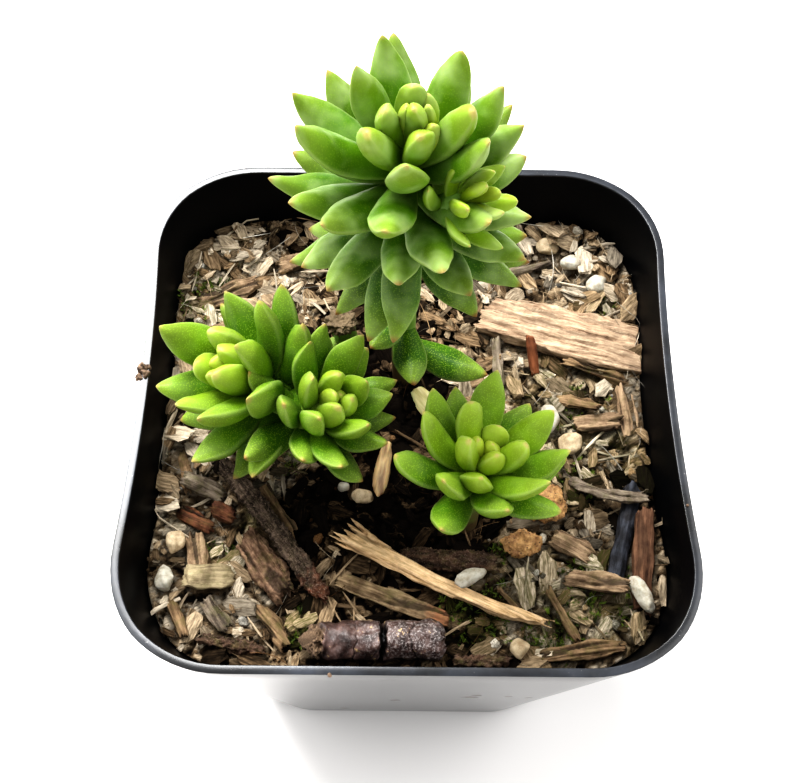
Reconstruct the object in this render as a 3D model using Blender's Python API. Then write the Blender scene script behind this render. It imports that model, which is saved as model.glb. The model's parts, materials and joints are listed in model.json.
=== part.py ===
"""A small sedum in a square nursery pot, filled with a bark and grit potting mix.

X runs to the right, Y to the back and Z up. The origin is the middle of the pot's flat base.
"""

import math
import random
from typing import NamedTuple

import bmesh
import bpy
from mathutils import Matrix, Vector, noise
from mathutils.bvhtree import BVHTree

MM = 0.001
GAP = 0.3 * MM

# Pot: a tapered square with round corners, measured at its outside.
POT_HEIGHT = 70 * MM
RIM_HALF = 35 * MM
RIM_CORNER = 14.5 * MM
BASE_HALF = 25.5 * MM
BASE_CORNER = 11 * MM
SIDE_PINCH = 1.6 * MM
WALL = 1.0 * MM
FLOOR = 1.4 * MM
FOOT_EDGE = 0.8 * MM
PINCH_REACH = 0.3
POT_STEPS = 14
DRAIN_RADIUS = 2.5 * MM
DRAIN_SPREAD = 15 * MM

# Soil: its mean surface, the size of its lumps, and its hollows as (x, y, radius, depth).
SOIL_TOP = POT_HEIGHT - 9.3 * MM
SOIL_STEPS = 28
BACK_FALL = 1.6 * MM
LUMPS = ((10 * MM, 1.0 * MM), (4 * MM, 0.45 * MM))
HOLLOWS = (
    (1 * MM, -13 * MM, 7 * MM, 2.4 * MM),
    (27 * MM, -6 * MM, 4 * MM, 1.8 * MM),
    (19 * MM, 9 * MM, 5 * MM, 1.5 * MM),
    (-30 * MM, -14 * MM, 4 * MM, 1.2 * MM),
)
EMBED = 0.5 * MM
PILE_GAP = 0.4 * MM
BED_REACH = 2.6 * MM
BED_PROBES = 8
STEM_DEPTH = 9 * MM

# Pieces in the soil: their rough ends and edges are shares of their own length and width.
PROBE_STEP = 0.4 * MM
PROBE_LENGTH = 1.1
PROBE_WIDTH = 1.6
WALL_TRIES = 4
WOOD_RINGS = 5
WOOD_SIDES = 6
WOOD_SPAN = 0.94
WOOD_RAGGED = 0.06
WOOD_WANDER = 0.04
ROUND_TAPER = (0.9, 0.9)
SPLIT_TAPER = (0.82, 0.7)
SPLIT_SQUARENESS = 0.5
STONE_WEAR = 0.5
STONE_LUMPS = 2.2

# Leaves: (share of the length, share of the width, share of the thickness) at each ring.
LEAF_RINGS = ((0.0, 0.5, 0.75), (0.3, 0.9, 1.0), (0.62, 0.98, 0.98), (0.88, 0.58, 0.6))
LEAF_SIDES = 6
LEAF_THICKNESS = 0.56
LEAF_SAG = 0.09
LEAF_TOP = 0.4
LEAF_ROOT = 0.8 * MM
YOUNG_WIDTH = 0.55
TURN_VARIES = 9
OPENING_VARIES = 7
LENGTH_VARIES = 0.1
STEM_SIDES = 8
STEM_RADIUS = 1.5 * MM
TIP_RADIUS = 0.45 * MM
NECK_AT = 0.6
NECK_RADIUS = 1.3 * MM


# Colour and roughness of each material
PALETTE = {
    "black_plastic": ((0.012, 0.012, 0.014), 0.35),
    "potting_soil": ((0.035, 0.022, 0.014), 0.95),
    "sedum_green": ((0.11, 0.32, 0.025), 0.4),
    "old_leaf_yellow": ((0.55, 0.48, 0.20), 0.6),
    "old_leaf_tan": ((0.40, 0.26, 0.12), 0.7),
    "weathered_wood": ((0.36, 0.24, 0.15), 0.8),
    "golden_wood": ((0.45, 0.27, 0.11), 0.7),
    "tan_wood": ((0.33, 0.21, 0.11), 0.8),
    "red_bark": ((0.18, 0.07, 0.035), 0.8),
    "brown_bark": ((0.10, 0.055, 0.035), 0.8),
    "grey_twig": ((0.17, 0.13, 0.10), 0.85),
    "olive_wood": ((0.17, 0.14, 0.05), 0.85),
    "glossy_bark": ((0.05, 0.032, 0.028), 0.4),
    "slate_stick": ((0.05, 0.055, 0.07), 0.6),
    "white_grit": ((0.65, 0.62, 0.55), 0.7),
    "cream_grit": ((0.60, 0.46, 0.27), 0.7),
    "orange_grit": ((0.42, 0.22, 0.10), 0.9),
}


class Head(NamedTuple):
    """A spiral of leaves round the end of a stem, the youngest at the tip."""

    tip: tuple            # end of the stem, in mm
    lean: tuple           # x and y of the stem's direction there, for 1 up
    leaves: int
    turn: float           # heading of the youngest leaf, in degrees
    divergence: float     # degrees from one leaf to the next
    rise: float           # mm of stem from one leaf to the next
    opening: tuple        # angle to the stem of the youngest and the oldest leaf, and its power
    length: float         # of a grown leaf, in mm
    width: float
    young: float          # length of the youngest leaf, as a share
    grown_at: float       # number of the first grown leaf
    seed: int             # picks how each leaf varies


TALL_HEAD = Head(
    tip=(-0.63, 3.43, 111.9), lean=(-0.04, -0.182), leaves=44, turn=19.8, divergence=139.2, rise=0.38,
    opening=(7.6, 122.9, 0.8), length=12.5, width=4.5, young=0.6, grown_at=7.2, seed=263,
)
TALL_BUD = Head(
    tip=(6.4, 1.6, 106.0), lean=(0.9, -0.4), leaves=9, turn=40, divergence=137.5, rise=0.33,
    opening=(10, 75, 0.8), length=5.4, width=2.5, young=0.6, grown_at=6, seed=2,
)
LEFT_HEAD = Head(
    tip=(-18.97, -1.49, 76.46), lean=(-0.66, -0.197), leaves=20, turn=124.3, divergence=136.23, rise=0.285,
    opening=(7, 68.4, 1.0), length=12.3, width=4.7, young=0.475, grown_at=8, seed=21,
)
INNER_HEAD = Head(
    tip=(-8.79, -6.6, 76.57), lean=(0.5, -0.112), leaves=19, turn=64.3, divergence=138, rise=0.2,
    opening=(4.4, 66.6, 1.08), length=8.9, width=3.9, young=0.35, grown_at=5.3, seed=1020,
)
SMALL_HEAD = Head(
    tip=(8.24, -13.21, 78.73), lean=(0.207, 0.189), leaves=21, turn=16.4, divergence=137.12, rise=0.2,
    opening=(11.5, 69.9, 0.9), length=10.8, width=4.2, young=0.33, grown_at=9, seed=972,
)


# Wood: name, one end (x, y), other end (x, y), width, thickness, material, in mm, lower ones first.
WOOD = (
    ("bark_shard_left", (-28.8, -12.2), (-24.6, -14.6), 2.6, 1.0, "red_bark"),
    ("red_chip_left", (-24.2, -12.6), (-21.8, -13.6), 2.2, 1.8, "red_bark"),
    ("tan_strip_left", (-29.6, -4.2), (-27.8, -9.6), 1.5, 0.9, "tan_wood"),
    ("grey_chip_left", (-28.2, -8.6), (-23.6, -10.6), 2.6, 1.4, "grey_twig"),
    ("tan_chip_corner", (-26.6, -15.6), (-25.4, -20.4), 3.2, 1.2, "tan_wood"),
    ("seed_husk", (-27.2, -21.6), (-21.4, -21.0), 2.8, 1.4, "olive_wood"),
    ("corner_splinter", (-28.6, -24.2), (-26.6, -28.6), 1.8, 1.3, "tan_wood"),
    ("grey_plate_left", (-24.4, -24.0), (-21.6, -27.6), 2.8, 1.0, "grey_twig"),
    ("front_strip_left", (-24.4, -28.9), (-16.6, -30.2), 1.8, 1.3, "brown_bark"),
    ("olive_chip_front", (-18.4, -24.6), (-14.2, -29.2), 2.4, 1.1, "olive_wood"),
    ("bark_chunk", (-20.2, -16.3), (-14.8, -23.2), 4.2, 2.2, "red_bark"),
    ("second_twig", (-18.2, -9.2), (-14.2, -15.6), 2.0, 1.8, "grey_twig"),
    ("long_twig", (-23.2, -6.8), (-9.6, -24.2), 2.5, 2.2, "grey_twig"),
    ("olive_strip", (-8.4, -21.3), (4.8, -26.2), 2.8, 1.5, "olive_wood"),
    ("dark_bark", (-1.0, -18.4), (11.6, -19.2), 3.4, 2.4, "brown_bark"),
    ("bark_roll", (-11.8, -29.4), (4.8, -29.0), 4.8, 4.4, "glossy_bark"),
    ("thin_chip_front", (11.4, -22.2), (14.8, -25.6), 1.2, 0.9, "tan_wood"),
    ("golden_splinter", (-8.4, -15.8), (18.0, -27.2), 2.5, 2.0, "golden_wood"),
    ("front_strip_right", (16.2, -30.8), (26.0, -29.2), 2.0, 1.5, "tan_wood"),
    ("rusty_chip_front", (5.8, -31.2), (12.2, -31.0), 1.8, 1.3, "brown_bark"),
    ("slate_stick", (29.0, -8.4), (25.6, -21.6), 2.8, 2.4, "slate_stick"),
    ("wall_strip", (29.6, -12.6), (28.6, -25.6), 3.0, 1.8, "brown_bark"),
    ("flat_chip_right", (19.6, -20.6), (26.6, -22.8), 2.8, 1.3, "tan_wood"),
    ("short_stick_right", (17.6, -22.6), (20.6, -28.2), 1.4, 1.1, "tan_wood"),
    ("pale_chip_right", (18.6, -15.6), (22.6, -18.2), 3.0, 1.2, "tan_wood"),
    ("curved_strip", (19.4, -7.4), (30.2, -12.0), 1.9, 1.3, "grey_twig"),
    ("tan_strip_right", (28.9, 5.6), (29.6, -1.4), 2.8, 1.3, "tan_wood"),
    ("shell_chip", (22.6, 0.2), (28.0, 0.4), 3.4, 1.2, "weathered_wood"),
    ("middle_chip_right", (20.4, 4.2), (25.4, 2.0), 2.0, 1.1, "weathered_wood"),
    ("back_stick", (12.4, 13.0), (12.6, 6.0), 1.9, 1.6, "grey_twig"),
    ("wood_slab", (10.8, 17.4), (30.2, 11.4), 7.2, 2.6, "weathered_wood"),
    ("slab_sliver", (21.6, 9.4), (30.6, 6.4), 1.8, 1.5, "tan_wood"),
    ("red_peg", (16.6, 13.2), (17.6, 7.4), 1.6, 1.4, "red_bark"),
    ("back_twig", (11.6, 23.4), (20.6, 26.4), 1.6, 1.2, "grey_twig"),
    ("back_slab", (-29.0, 18.6), (-21.6, 22.6), 3.2, 1.5, "weathered_wood"),
    ("back_chip_left", (-27.8, 13.6), (-21.0, 15.0), 2.8, 1.2, "tan_wood"),
    ("back_chip_middle", (-18.4, 25.6), (-12.6, 27.4), 3.0, 1.4, "weathered_wood"),
)

ROUND_WOOD = ("glossy_bark", "grey_twig", "slate_stick")
BENDS = {"curved_strip": -1.6, "golden_splinter": -0.8, "olive_chip_front": 0.8, "long_twig": 0.5}

# Grit: name, place (x, y), length, width, height, heading in degrees, material.
STONES = (
    ("cream_stone_left", (-28.7, -16.9), 3.0, 2.5, 2.0, 60, "cream_grit"),
    ("white_stone_left", (-29.6, -21.6), 2.6, 3.4, 2.4, 10, "white_grit"),
    ("white_stone_front", (7.6, -22.0), 4.0, 2.0, 1.8, 20, "white_grit"),
    ("long_white_stone", (28.2, -23.6), 5.4, 2.2, 2.0, -60, "white_grit"),
    ("round_cream_stone", (13.6, -29.8), 2.3, 2.5, 2.0, 0, "cream_grit"),
    ("small_white_stone", (-8.0, -9.0), 1.8, 1.5, 1.4, 0, "white_grit"),
    ("double_tan_stone", (-5.6, -10.3), 3.0, 2.2, 1.8, 10, "cream_grit"),
    ("orange_lump_back", (17.4, -11.6), 5.8, 4.4, 3.4, -15, "orange_grit"),
    ("orange_lump_front", (14.6, -16.8), 4.4, 3.6, 2.6, 10, "orange_grit"),
    ("white_stone_right", (18.8, 1.0), 2.6, 4.4, 2.4, 15, "white_grit"),
    ("cream_stone_right", (21.6, -2.6), 3.4, 3.0, 2.2, 30, "cream_grit"),
    ("back_cream_stone", (20.2, 29.0), 3.6, 2.8, 2.2, 0, "cream_grit"),
    ("back_white_stone", (23.4, 25.6), 3.0, 2.6, 2.2, 0, "white_grit"),
    ("back_pale_stone", (26.8, 22.2), 3.2, 2.8, 2.2, 30, "white_grit"),
)

# Stems up to the foot of their head, in mm.
SOIL_LEVEL = SOIL_TOP / MM
STEM_FOOT = (SOIL_TOP - STEM_DEPTH) / MM
TALL_STEM = ((-0.5, 8.0, STEM_FOOT), (-0.5, 8.0, SOIL_LEVEL), (-0.5, 7.2, 82))
BUD_STEM = ((-0.6, 4.4, 101.2), (2.2, 3.4, 102.4))
CUT_STEM = ((-7.6, 9.2, STEM_FOOT), (-7.6, 9.2, SOIL_LEVEL), (-7.8, 8.2, 68), (-8.1, 7.0, 74.5))
LEFT_STEM = ((-7.8, 8.7, 66), (-9.8, 6.4, 69.0), (-11.2, 3.4, 69.8), (-13.6, 0.4, 70.4))
INNER_STEM = ((-11.0, 3.2, 69.6), (-12.0, -0.6, 69.0), (-11.6, -4.4, 70.4))
SMALL_STEM = ((7.6, -13.2, STEM_FOOT), (7.6, -13.2, SOIL_LEVEL))

# Single leaves low on the tall stem: (root, tip, width), in mm.
LOW_LEAVES = (
    ((-0.3, 7.4, 69.6), (9.9, 2.4, 70.2), 4.5),
    ((-0.4, 7.4, 74), (0.9, -1.8, 75.6), 4.2),
    ((-0.5, 7.3, 78), (-4.4, 1.6, 78.4), 3.8),
)

# Old leaves on the soil: name, root (x, y), tip (x, y), width, material, in mm.
OLD_LEAVES = (
    ("yellow_old_leaf", (1.2, 4.8), (4.6, 0.6), 3.6, "old_leaf_yellow"),
    ("tan_old_leaf", (-2.4, -3.0), (-3.7, -10.8), 2.6, "old_leaf_tan"),
)


def clear_scene():
    for item in list(bpy.data.objects):
        bpy.data.objects.remove(item, do_unlink=True)


def material(name):
    colour, roughness = PALETTE[name]
    made = bpy.data.materials.get(name) or bpy.data.materials.new(name)
    made.use_nodes = True
    shader = made.node_tree.nodes["Principled BSDF"]
    shader.inputs["Base Color"].default_value = (*colour, 1)
    shader.inputs["Roughness"].default_value = roughness
    shader.inputs["Metallic"].default_value = 0
    return made


def make_object(name, shape, stuff):
    """Turns a bmesh into a named object with a material, its faces pointing out."""
    bmesh.ops.recalc_face_normals(shape, faces=shape.faces)
    mesh = bpy.data.meshes.new(name)
    shape.to_mesh(mesh)
    shape.free()
    made = bpy.data.objects.new(name, mesh)
    bpy.context.collection.objects.link(made)
    made.data.materials.append(material(stuff))
    return made


def join_rings(shape, rings, close_start=True, close_end=True):
    """Bridges rings of equal length and caps the ends."""
    for lower, upper in zip(rings, rings[1:]):
        for index in range(len(lower)):
            after = (index + 1) % len(lower)
            shape.faces.new((lower[index], lower[after], upper[after], upper[index]))
    if close_start:
        shape.faces.new(list(reversed(rings[0])))
    if close_end:
        shape.faces.new(rings[-1])


def smooth(item, angle=40):
    item.data.shade_smooth()
    item.data.set_sharp_from_angle(angle=math.radians(angle))


def apply_modifiers(item):
    depsgraph = bpy.context.evaluated_depsgraph_get()
    applied = bpy.data.meshes.new_from_object(item.evaluated_get(depsgraph))
    item.modifiers.clear()
    item.data = applied


def cut(item, cutter):
    """Takes the cutter out of the item and removes it."""
    boolean = item.modifiers.new("Cut", "BOOLEAN")
    boolean.operation = "DIFFERENCE"
    boolean.solver = "EXACT"
    boolean.object = cutter
    apply_modifiers(item)
    bpy.data.objects.remove(cutter, do_unlink=True)


def rods(name, places, radius, low, high, sides=16):
    """One upright rod at each place, as a cutter."""
    shape = bmesh.new()
    for x, y in places:
        middle = Matrix.Translation((x, y, (low + high) / 2))
        bmesh.ops.create_cone(
            shape,
            cap_ends=True,
            segments=sides,
            radius1=radius,
            radius2=radius,
            depth=high - low,
            matrix=middle,
        )
    return make_object(name, shape, "black_plastic")


def between(start, end, share):
    return start + (end - start) * share


def pot_point(u, v, z, inset=0.0):
    """Maps a point of the square from -1 to 1 onto the pot's outline at height z."""
    share = z / POT_HEIGHT
    half = between(BASE_HALF, RIM_HALF, share) - inset
    corner = between(BASE_CORNER, RIM_CORNER, share) - inset
    reach = max(abs(u), abs(v))
    if reach == 0:
        return Vector((0, 0, z))
    straight = half - corner
    straight_share = (RIM_HALF - RIM_CORNER) / (RIM_HALF - RIM_CORNER + RIM_CORNER * math.pi / 4)
    on_x_side = abs(u) >= abs(v)
    along = (v if on_x_side else u) / reach
    if abs(along) <= straight_share:
        outward = half
        sideways = along / straight_share * straight
    else:
        angle = (abs(along) - straight_share) / (1 - straight_share) * math.pi / 4
        outward = straight + corner * math.cos(angle)
        sideways = math.copysign(straight + corner * math.sin(angle), along)
    if on_x_side:
        x, y = math.copysign(outward, u), sideways
    else:
        x, y = sideways, math.copysign(outward, v)
    bend = 1 - (y / (half - PINCH_REACH * corner)) ** 2
    x -= math.copysign(SIDE_PINCH * share * max(bend, 0), x)
    return Vector((x * reach, y * reach, z))


def square_edge(steps):
    """Points round the edge of the square from -1 to 1."""
    run = [2 * index / steps - 1 for index in range(steps)]
    right = [(1, v) for v in run]
    back = [(-u, 1) for u in run]
    left = [(-1, -v) for v in run]
    front = [(u, -1) for u in run]
    return right + back + left + front


def make_pot():
    shape = bmesh.new()
    levels = ((0, FOOT_EDGE), (FOOT_EDGE, 0), (POT_HEIGHT, 0), (POT_HEIGHT, WALL), (FLOOR, WALL))
    rings = []
    for z, inset in levels:
        rings.append([shape.verts.new(pot_point(u, v, z, inset)) for u, v in square_edge(POT_STEPS)])
    join_rings(shape, rings)
    pot = make_object("pot", shape, "black_plastic")
    corners = [(x, y) for x in (-DRAIN_SPREAD, DRAIN_SPREAD) for y in (-DRAIN_SPREAD, DRAIN_SPREAD)]
    cut(pot, rods("drain_cutter", corners, DRAIN_RADIUS, -FLOOR, 2 * FLOOR))
    smooth(pot)
    return pot


def soil_height(x, y):
    """Height of the loose soil before any piece lies on it."""
    height = SOIL_TOP - BACK_FALL * max(y, 0) / RIM_HALF
    for size, rise in LUMPS:
        height += rise * noise.noise(Vector((x / size, y / size, size / MM)))
    for hollow_x, hollow_y, radius, depth in HOLLOWS:
        away = ((x - hollow_x) ** 2 + (y - hollow_y) ** 2) / radius**2
        height -= depth * math.exp(-away)
    return height


class Pile:
    """The pieces that lie on the soil so far, as one surface."""

    def __init__(self):
        self.points = []
        self.faces = []
        self.tree = None

    def add(self, item):
        first = len(self.points)
        self.points += [item.matrix_world @ vertex.co for vertex in item.data.vertices]
        self.faces += [[first + index for index in face.vertices] for face in item.data.polygons]
        self.tree = BVHTree.FromPolygons(self.points, self.faces)

    def top(self, x, y):
        return self.tree and self.tree.ray_cast(Vector((x, y, 2 * POT_HEIGHT)), Vector((0, 0, -1)))[0]

    def underside(self, x, y):
        return self.tree and self.tree.ray_cast(Vector((x, y, FLOOR)), Vector((0, 0, 1)))[0]


def bed_height(x, y, pile):
    """Lowest underside of the pieces round a place, or None where nothing lies."""
    hits = [pile.underside(x, y)]
    for reach in (BED_REACH / 2, BED_REACH):
        for step in range(BED_PROBES):
            angle = 2 * math.pi * step / BED_PROBES
            hits.append(pile.underside(x + reach * math.cos(angle), y + reach * math.sin(angle)))
    return min((hit.z for hit in hits if hit), default=None)


def make_soil(pile):
    """The filled soil, with a shallow bed under each piece that lies on it."""
    shape = bmesh.new()
    inset = WALL + GAP
    grid = []
    for row in range(SOIL_STEPS + 1):
        line = []
        for column in range(SOIL_STEPS + 1):
            u = 2 * column / SOIL_STEPS - 1
            v = 2 * row / SOIL_STEPS - 1
            place = pot_point(u, v, SOIL_TOP, inset)
            height = soil_height(place.x, place.y)
            bed = bed_height(place.x, place.y, pile)
            if bed is not None:
                height = min(height, bed - GAP)
            line.append(shape.verts.new(pot_point(u, v, height, inset)))
        grid.append(line)
    for row in range(SOIL_STEPS):
        for column in range(SOIL_STEPS):
            near = grid[row]
            far = grid[row + 1]
            shape.faces.new((near[column], near[column + 1], far[column + 1]))
            shape.faces.new((near[column], far[column + 1], far[column]))
    top_edge = [line[-1] for line in grid[:-1]]
    top_edge += list(reversed(grid[-1][1:]))
    top_edge += [line[0] for line in reversed(grid[1:])]
    top_edge += grid[0][:-1]
    bottom_edge = []
    for u, v in square_edge(SOIL_STEPS):
        bottom_edge.append(shape.verts.new(pot_point(u, v, FLOOR + GAP, inset)))
    join_rings(shape, [bottom_edge, top_edge], close_end=False)
    return make_object("soil", shape, "potting_soil")


def tube(name, points, radii, stuff, sides=STEM_SIDES):
    """A closed tube through the points, with a round end at the last one."""
    shape = bmesh.new()
    rings = []
    for index, point in enumerate(points):
        before = points[max(index - 1, 0)]
        after = points[min(index + 1, len(points) - 1)]
        along = (after - before).normalized()
        across = along.cross(Vector((0, 1, 0))).normalized()
        other = along.cross(across)
        ring = []
        for side in range(sides):
            angle = 2 * math.pi * side / sides
            offset = across * math.cos(angle) + other * math.sin(angle)
            ring.append(shape.verts.new(point + offset * radii[index]))
        rings.append(ring)
    join_rings(shape, rings)
    return make_object(name, shape, stuff)


def leaf(name, root, along, face, length, width, stuff="sedum_green"):
    """A thick pointed leaf from its root; face is the side that looks at the stem's tip."""
    along = along.normalized()
    across = along.cross(face).normalized()
    up = across.cross(along)
    thickness = width * LEAF_THICKNESS
    shape = bmesh.new()
    rings = []
    for run, wide, thick in LEAF_RINGS:
        middle = root + along * (run * length) - up * (4 * run * (1 - run) * LEAF_SAG * length)
        ring = []
        for side in range(LEAF_SIDES):
            angle = 2 * math.pi * side / LEAF_SIDES
            rise = math.sin(angle) * (LEAF_TOP if math.sin(angle) > 0 else 1 - LEAF_TOP)
            offset = across * (math.cos(angle) * wide * width / 2) + up * (rise * thick * thickness)
            ring.append(shape.verts.new(middle + offset))
        rings.append(ring)
    join_rings(shape, rings, close_end=False)
    point = shape.verts.new(root + along * length)
    last = rings[-1]
    for side in range(LEAF_SIDES):
        shape.faces.new((last[side], last[(side + 1) % LEAF_SIDES], point))
    return make_object(name, shape, stuff)


def head_axes(head):
    """The stem's direction in the head, and two directions across it."""
    axis = Vector((head.lean[0], head.lean[1], 1)).normalized()
    right = Vector((0, 1, 0)).cross(axis).normalized()
    back = axis.cross(right)
    return axis, right, back


def head_leaves(head):
    """Places each leaf of a head on its spiral: root, direction, length and width."""
    draw = random.Random(head.seed)
    axis, right, back = head_axes(head)
    youngest, oldest, power = head.opening
    for number in range(head.leaves):
        age = min(1, number / head.grown_at)
        turn = head.turn + head.divergence * number + draw.uniform(-1, 1) * TURN_VARIES
        opening = between(youngest, oldest, (number / (head.leaves - 1)) ** power)
        opening += draw.uniform(-1, 1) * OPENING_VARIES * age
        length = head.length * MM * between(head.young, 1, age) * (1 + draw.uniform(-1, 1) * LENGTH_VARIES)
        width = head.width * MM * between(YOUNG_WIDTH, 1, age)
        turn = math.radians(turn)
        opening = math.radians(opening)
        outward = right * math.cos(turn) + back * math.sin(turn)
        root = Vector(head.tip) * MM - axis * (head.rise * MM * number) + outward * (LEAF_ROOT * age)
        along = outward * math.sin(opening) + axis * math.cos(opening)
        face = axis * math.sin(opening) - outward * math.cos(opening)
        yield root, along, face, length, width


def join_by_union(body, others):
    """Fuses the others into the body, and drops scraps and sealed hollows."""
    group = bpy.data.collections.new(body.name + "_repeats")
    for other in others:
        group.objects.link(other)
    boolean = body.modifiers.new("Union", "BOOLEAN")
    boolean.operation = "UNION"
    boolean.solver = "EXACT"
    boolean.operand_type = "COLLECTION"
    boolean.collection = group
    apply_modifiers(body)
    for other in others:
        bpy.data.objects.remove(other, do_unlink=True)
    bpy.data.collections.remove(group)
    keep_largest_shell(body)


def keep_largest_shell(body):
    shape = bmesh.new()
    shape.from_mesh(body.data)
    bmesh.ops.triangulate(shape, faces=shape.faces)
    shells = []
    unseen = set(shape.verts)
    while unseen:
        front = [unseen.pop()]
        shell = set(front)
        while front:
            for edge in front.pop().link_edges:
                for vertex in edge.verts:
                    if vertex in unseen:
                        unseen.remove(vertex)
                        shell.add(vertex)
                        front.append(vertex)
        shells.append(shell)
    shells.sort(key=len, reverse=True)
    scraps = [vertex for shell in shells[1:] for vertex in shell]
    bmesh.ops.delete(shape, geom=scraps, context="VERTS")
    shape.to_mesh(body.data)
    shape.free()


def head_top(head):
    """The stem's points and radii inside a head, from under its lowest leaf to its tip."""
    tip = Vector(head.tip) * MM
    foot = tip - head_axes(head)[0] * (head.rise * MM * head.leaves)
    return [foot, foot.lerp(tip, NECK_AT), tip], [STEM_RADIUS, NECK_RADIUS, TIP_RADIUS]


def make_shoot(name, stems, low_leaves=()):
    """One leafy plant: its stems, each with its head of leaves, and its low leaves, fused."""
    tubes = []
    leaves = []
    for path, head in stems:
        points = [Vector(point) * MM for point in path]
        radii = [STEM_RADIUS] * len(points)
        if head:
            top_points, top_radii = head_top(head)
            points += top_points
            radii += top_radii
            for root, along, face, length, width in head_leaves(head):
                leaves.append(leaf(name + "_leaf", root, along, face, length, width))
        tubes.append(tube(name + "_stem", points, radii, "sedum_green"))
    for root, tip, width in low_leaves:
        root = Vector(root) * MM
        along = Vector(tip) * MM - root
        leaves.append(leaf(name + "_leaf", root, along, Vector((0, 0, 1)), along.length, width * MM))
    body = tubes[0]
    body.name = name
    join_by_union(body, tubes[1:] + leaves)
    smooth(body)
    return body


def wood_shape(length, width, thickness, seed, bend, roundness):
    """A splintered strip of wood along X, with its middle at the origin."""
    draw = random.Random(seed)
    start_share, end_share = ROUND_TAPER if roundness == 1 else SPLIT_TAPER
    shape = bmesh.new()
    rings = []
    for index in range(WOOD_RINGS):
        run = index / (WOOD_RINGS - 1)
        share = {0: start_share, WOOD_RINGS - 1: end_share}.get(index, 1)
        half_width = width / 2 * share * draw.uniform(0.86, 1.06)
        half_thick = thickness / 2 * share * draw.uniform(0.9, 1.1)
        side_shift = bend * (4 * run * (1 - run) - 0.5) + draw.uniform(-1, 1) * WOOD_WANDER * width
        ring = []
        for side in range(WOOD_SIDES):
            angle = 2 * math.pi * (side + 0.5) / WOOD_SIDES
            across = math.copysign(abs(math.cos(angle)) ** roundness, math.cos(angle))
            upward = math.copysign(abs(math.sin(angle)) ** roundness, math.sin(angle))
            ragged = draw.uniform(-1, 1) * WOOD_RAGGED * length if share < 1 else 0
            x = (run - 0.5) * length * WOOD_SPAN + ragged
            ring.append(shape.verts.new((x, side_shift + across * half_width, upward * half_thick)))
        rings.append(ring)
    join_rings(shape, rings)
    return shape


def stone_shape(length, width, height, seed):
    """A worn piece of grit, longest along X."""
    draw = random.Random(seed)
    shape = bmesh.new()
    bmesh.ops.create_icosphere(shape, subdivisions=2, radius=0.5)
    shift = Vector((draw.uniform(0, 50), draw.uniform(0, 50), draw.uniform(0, 50)))
    for vertex in shape.verts:
        swell = 1 + STONE_WEAR * noise.noise(vertex.co * STONE_LUMPS + shift)
        vertex.co = Vector((vertex.co.x * length, vertex.co.y * width, vertex.co.z * height)) * swell
    return shape


def footprint(tree, length, width):
    """Samples a piece's underside as (x, y, z) in its own axes."""
    samples = []
    across_steps = max(3, int(width / PROBE_STEP) + 1)
    along_steps = max(3, int(length / PROBE_STEP) + 1)
    for row in range(along_steps + 1):
        x = (row / along_steps - 0.5) * length * PROBE_LENGTH
        for column in range(across_steps + 1):
            y = (column / across_steps - 0.5) * width * PROBE_WIDTH
            hit = tree.ray_cast(Vector((x, y, -POT_HEIGHT)), Vector((0, 0, 1)))[0]
            if hit is not None:
                samples.append(hit)
    return samples


def ground(x, y, pile):
    """Height at which a new piece touches the soil or what already lies there."""
    height = soil_height(x, y) - EMBED
    hit = pile.top(x, y)
    return max(height, hit.z + PILE_GAP) if hit else height


def resting_line(contacts):
    """Height and slope of a stick, held at its middle by the highest pair of contacts."""
    best_height = max(height for run, height in contacts if abs(run) <= PROBE_STEP)
    best_slope = 0.0
    before = [contact for contact in contacts if contact[0] < 0]
    behind = [contact for contact in contacts if contact[0] > 0]
    for left_run, left_height in before:
        for right_run, right_height in behind:
            slope = (right_height - left_height) / (right_run - left_run)
            height = left_height - left_run * slope
            if height > best_height:
                best_height = height
                best_slope = slope
    return best_height, best_slope


def highest_by_run(samples, place, heading, pile):
    """The contacts of a piece at each step along it, for its middle line."""
    bins = {}
    for sample in samples:
        x = place[0] + sample.x * math.cos(heading) - sample.y * math.sin(heading)
        y = place[1] + sample.x * math.sin(heading) + sample.y * math.cos(heading)
        needed = ground(x, y, pile) - sample.z
        step = round(sample.x / PROBE_STEP)
        bins[step] = max(bins.get(step, needed), needed)
    return [(step * PROBE_STEP, height) for step, height in bins.items()]


def keep_inside(item):
    """Moves a piece in from the pot's wall until all of it is clear."""
    for _ in range(WALL_TRIES):
        push = Vector((0, 0, 0))
        for vertex in item.data.vertices:
            place = item.matrix_world @ vertex.co
            share = place.z / POT_HEIGHT
            half = between(BASE_HALF, RIM_HALF, share) - WALL - PILE_GAP
            corner = between(BASE_CORNER, RIM_CORNER, share) - WALL - PILE_GAP
            bend = 1 - (place.y / (half - PINCH_REACH * corner)) ** 2
            x_half = half - SIDE_PINCH * share * max(bend, 0)
            beyond_x = abs(place.x) - x_half + corner
            beyond_y = abs(place.y) - half + corner
            if beyond_x > 0 and beyond_y > 0:
                excess = math.hypot(beyond_x, beyond_y) - corner
            else:
                excess = max(beyond_x, beyond_y) - corner
            if excess > push.length:
                push = Vector((place.x, place.y, 0)).normalized() * excess
        if push.length == 0:
            return
        item.location -= push
        bpy.context.view_layer.update()


def lay(item, place, heading, length, width, pile, level=False):
    """Lays a piece at a place on the soil and on the pieces that are there, and adds it to them."""
    shape = bmesh.new()
    shape.from_mesh(item.data)
    samples = footprint(BVHTree.FromBMesh(shape), length, width)
    samples += [vertex.co.copy() for vertex in shape.verts]
    contacts = highest_by_run(samples, place, heading, pile)
    height, slope = resting_line(contacts)
    if level:
        slope = 0.0
    height = max([height] + [needed - run * slope for run, needed in contacts])
    item.rotation_euler = (0, -math.atan(slope), heading)
    item.location = (place[0], place[1], height)
    bpy.context.view_layer.update()
    keep_inside(item)
    bpy.context.view_layer.update()
    pile.add(item)
    shape.free()


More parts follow.
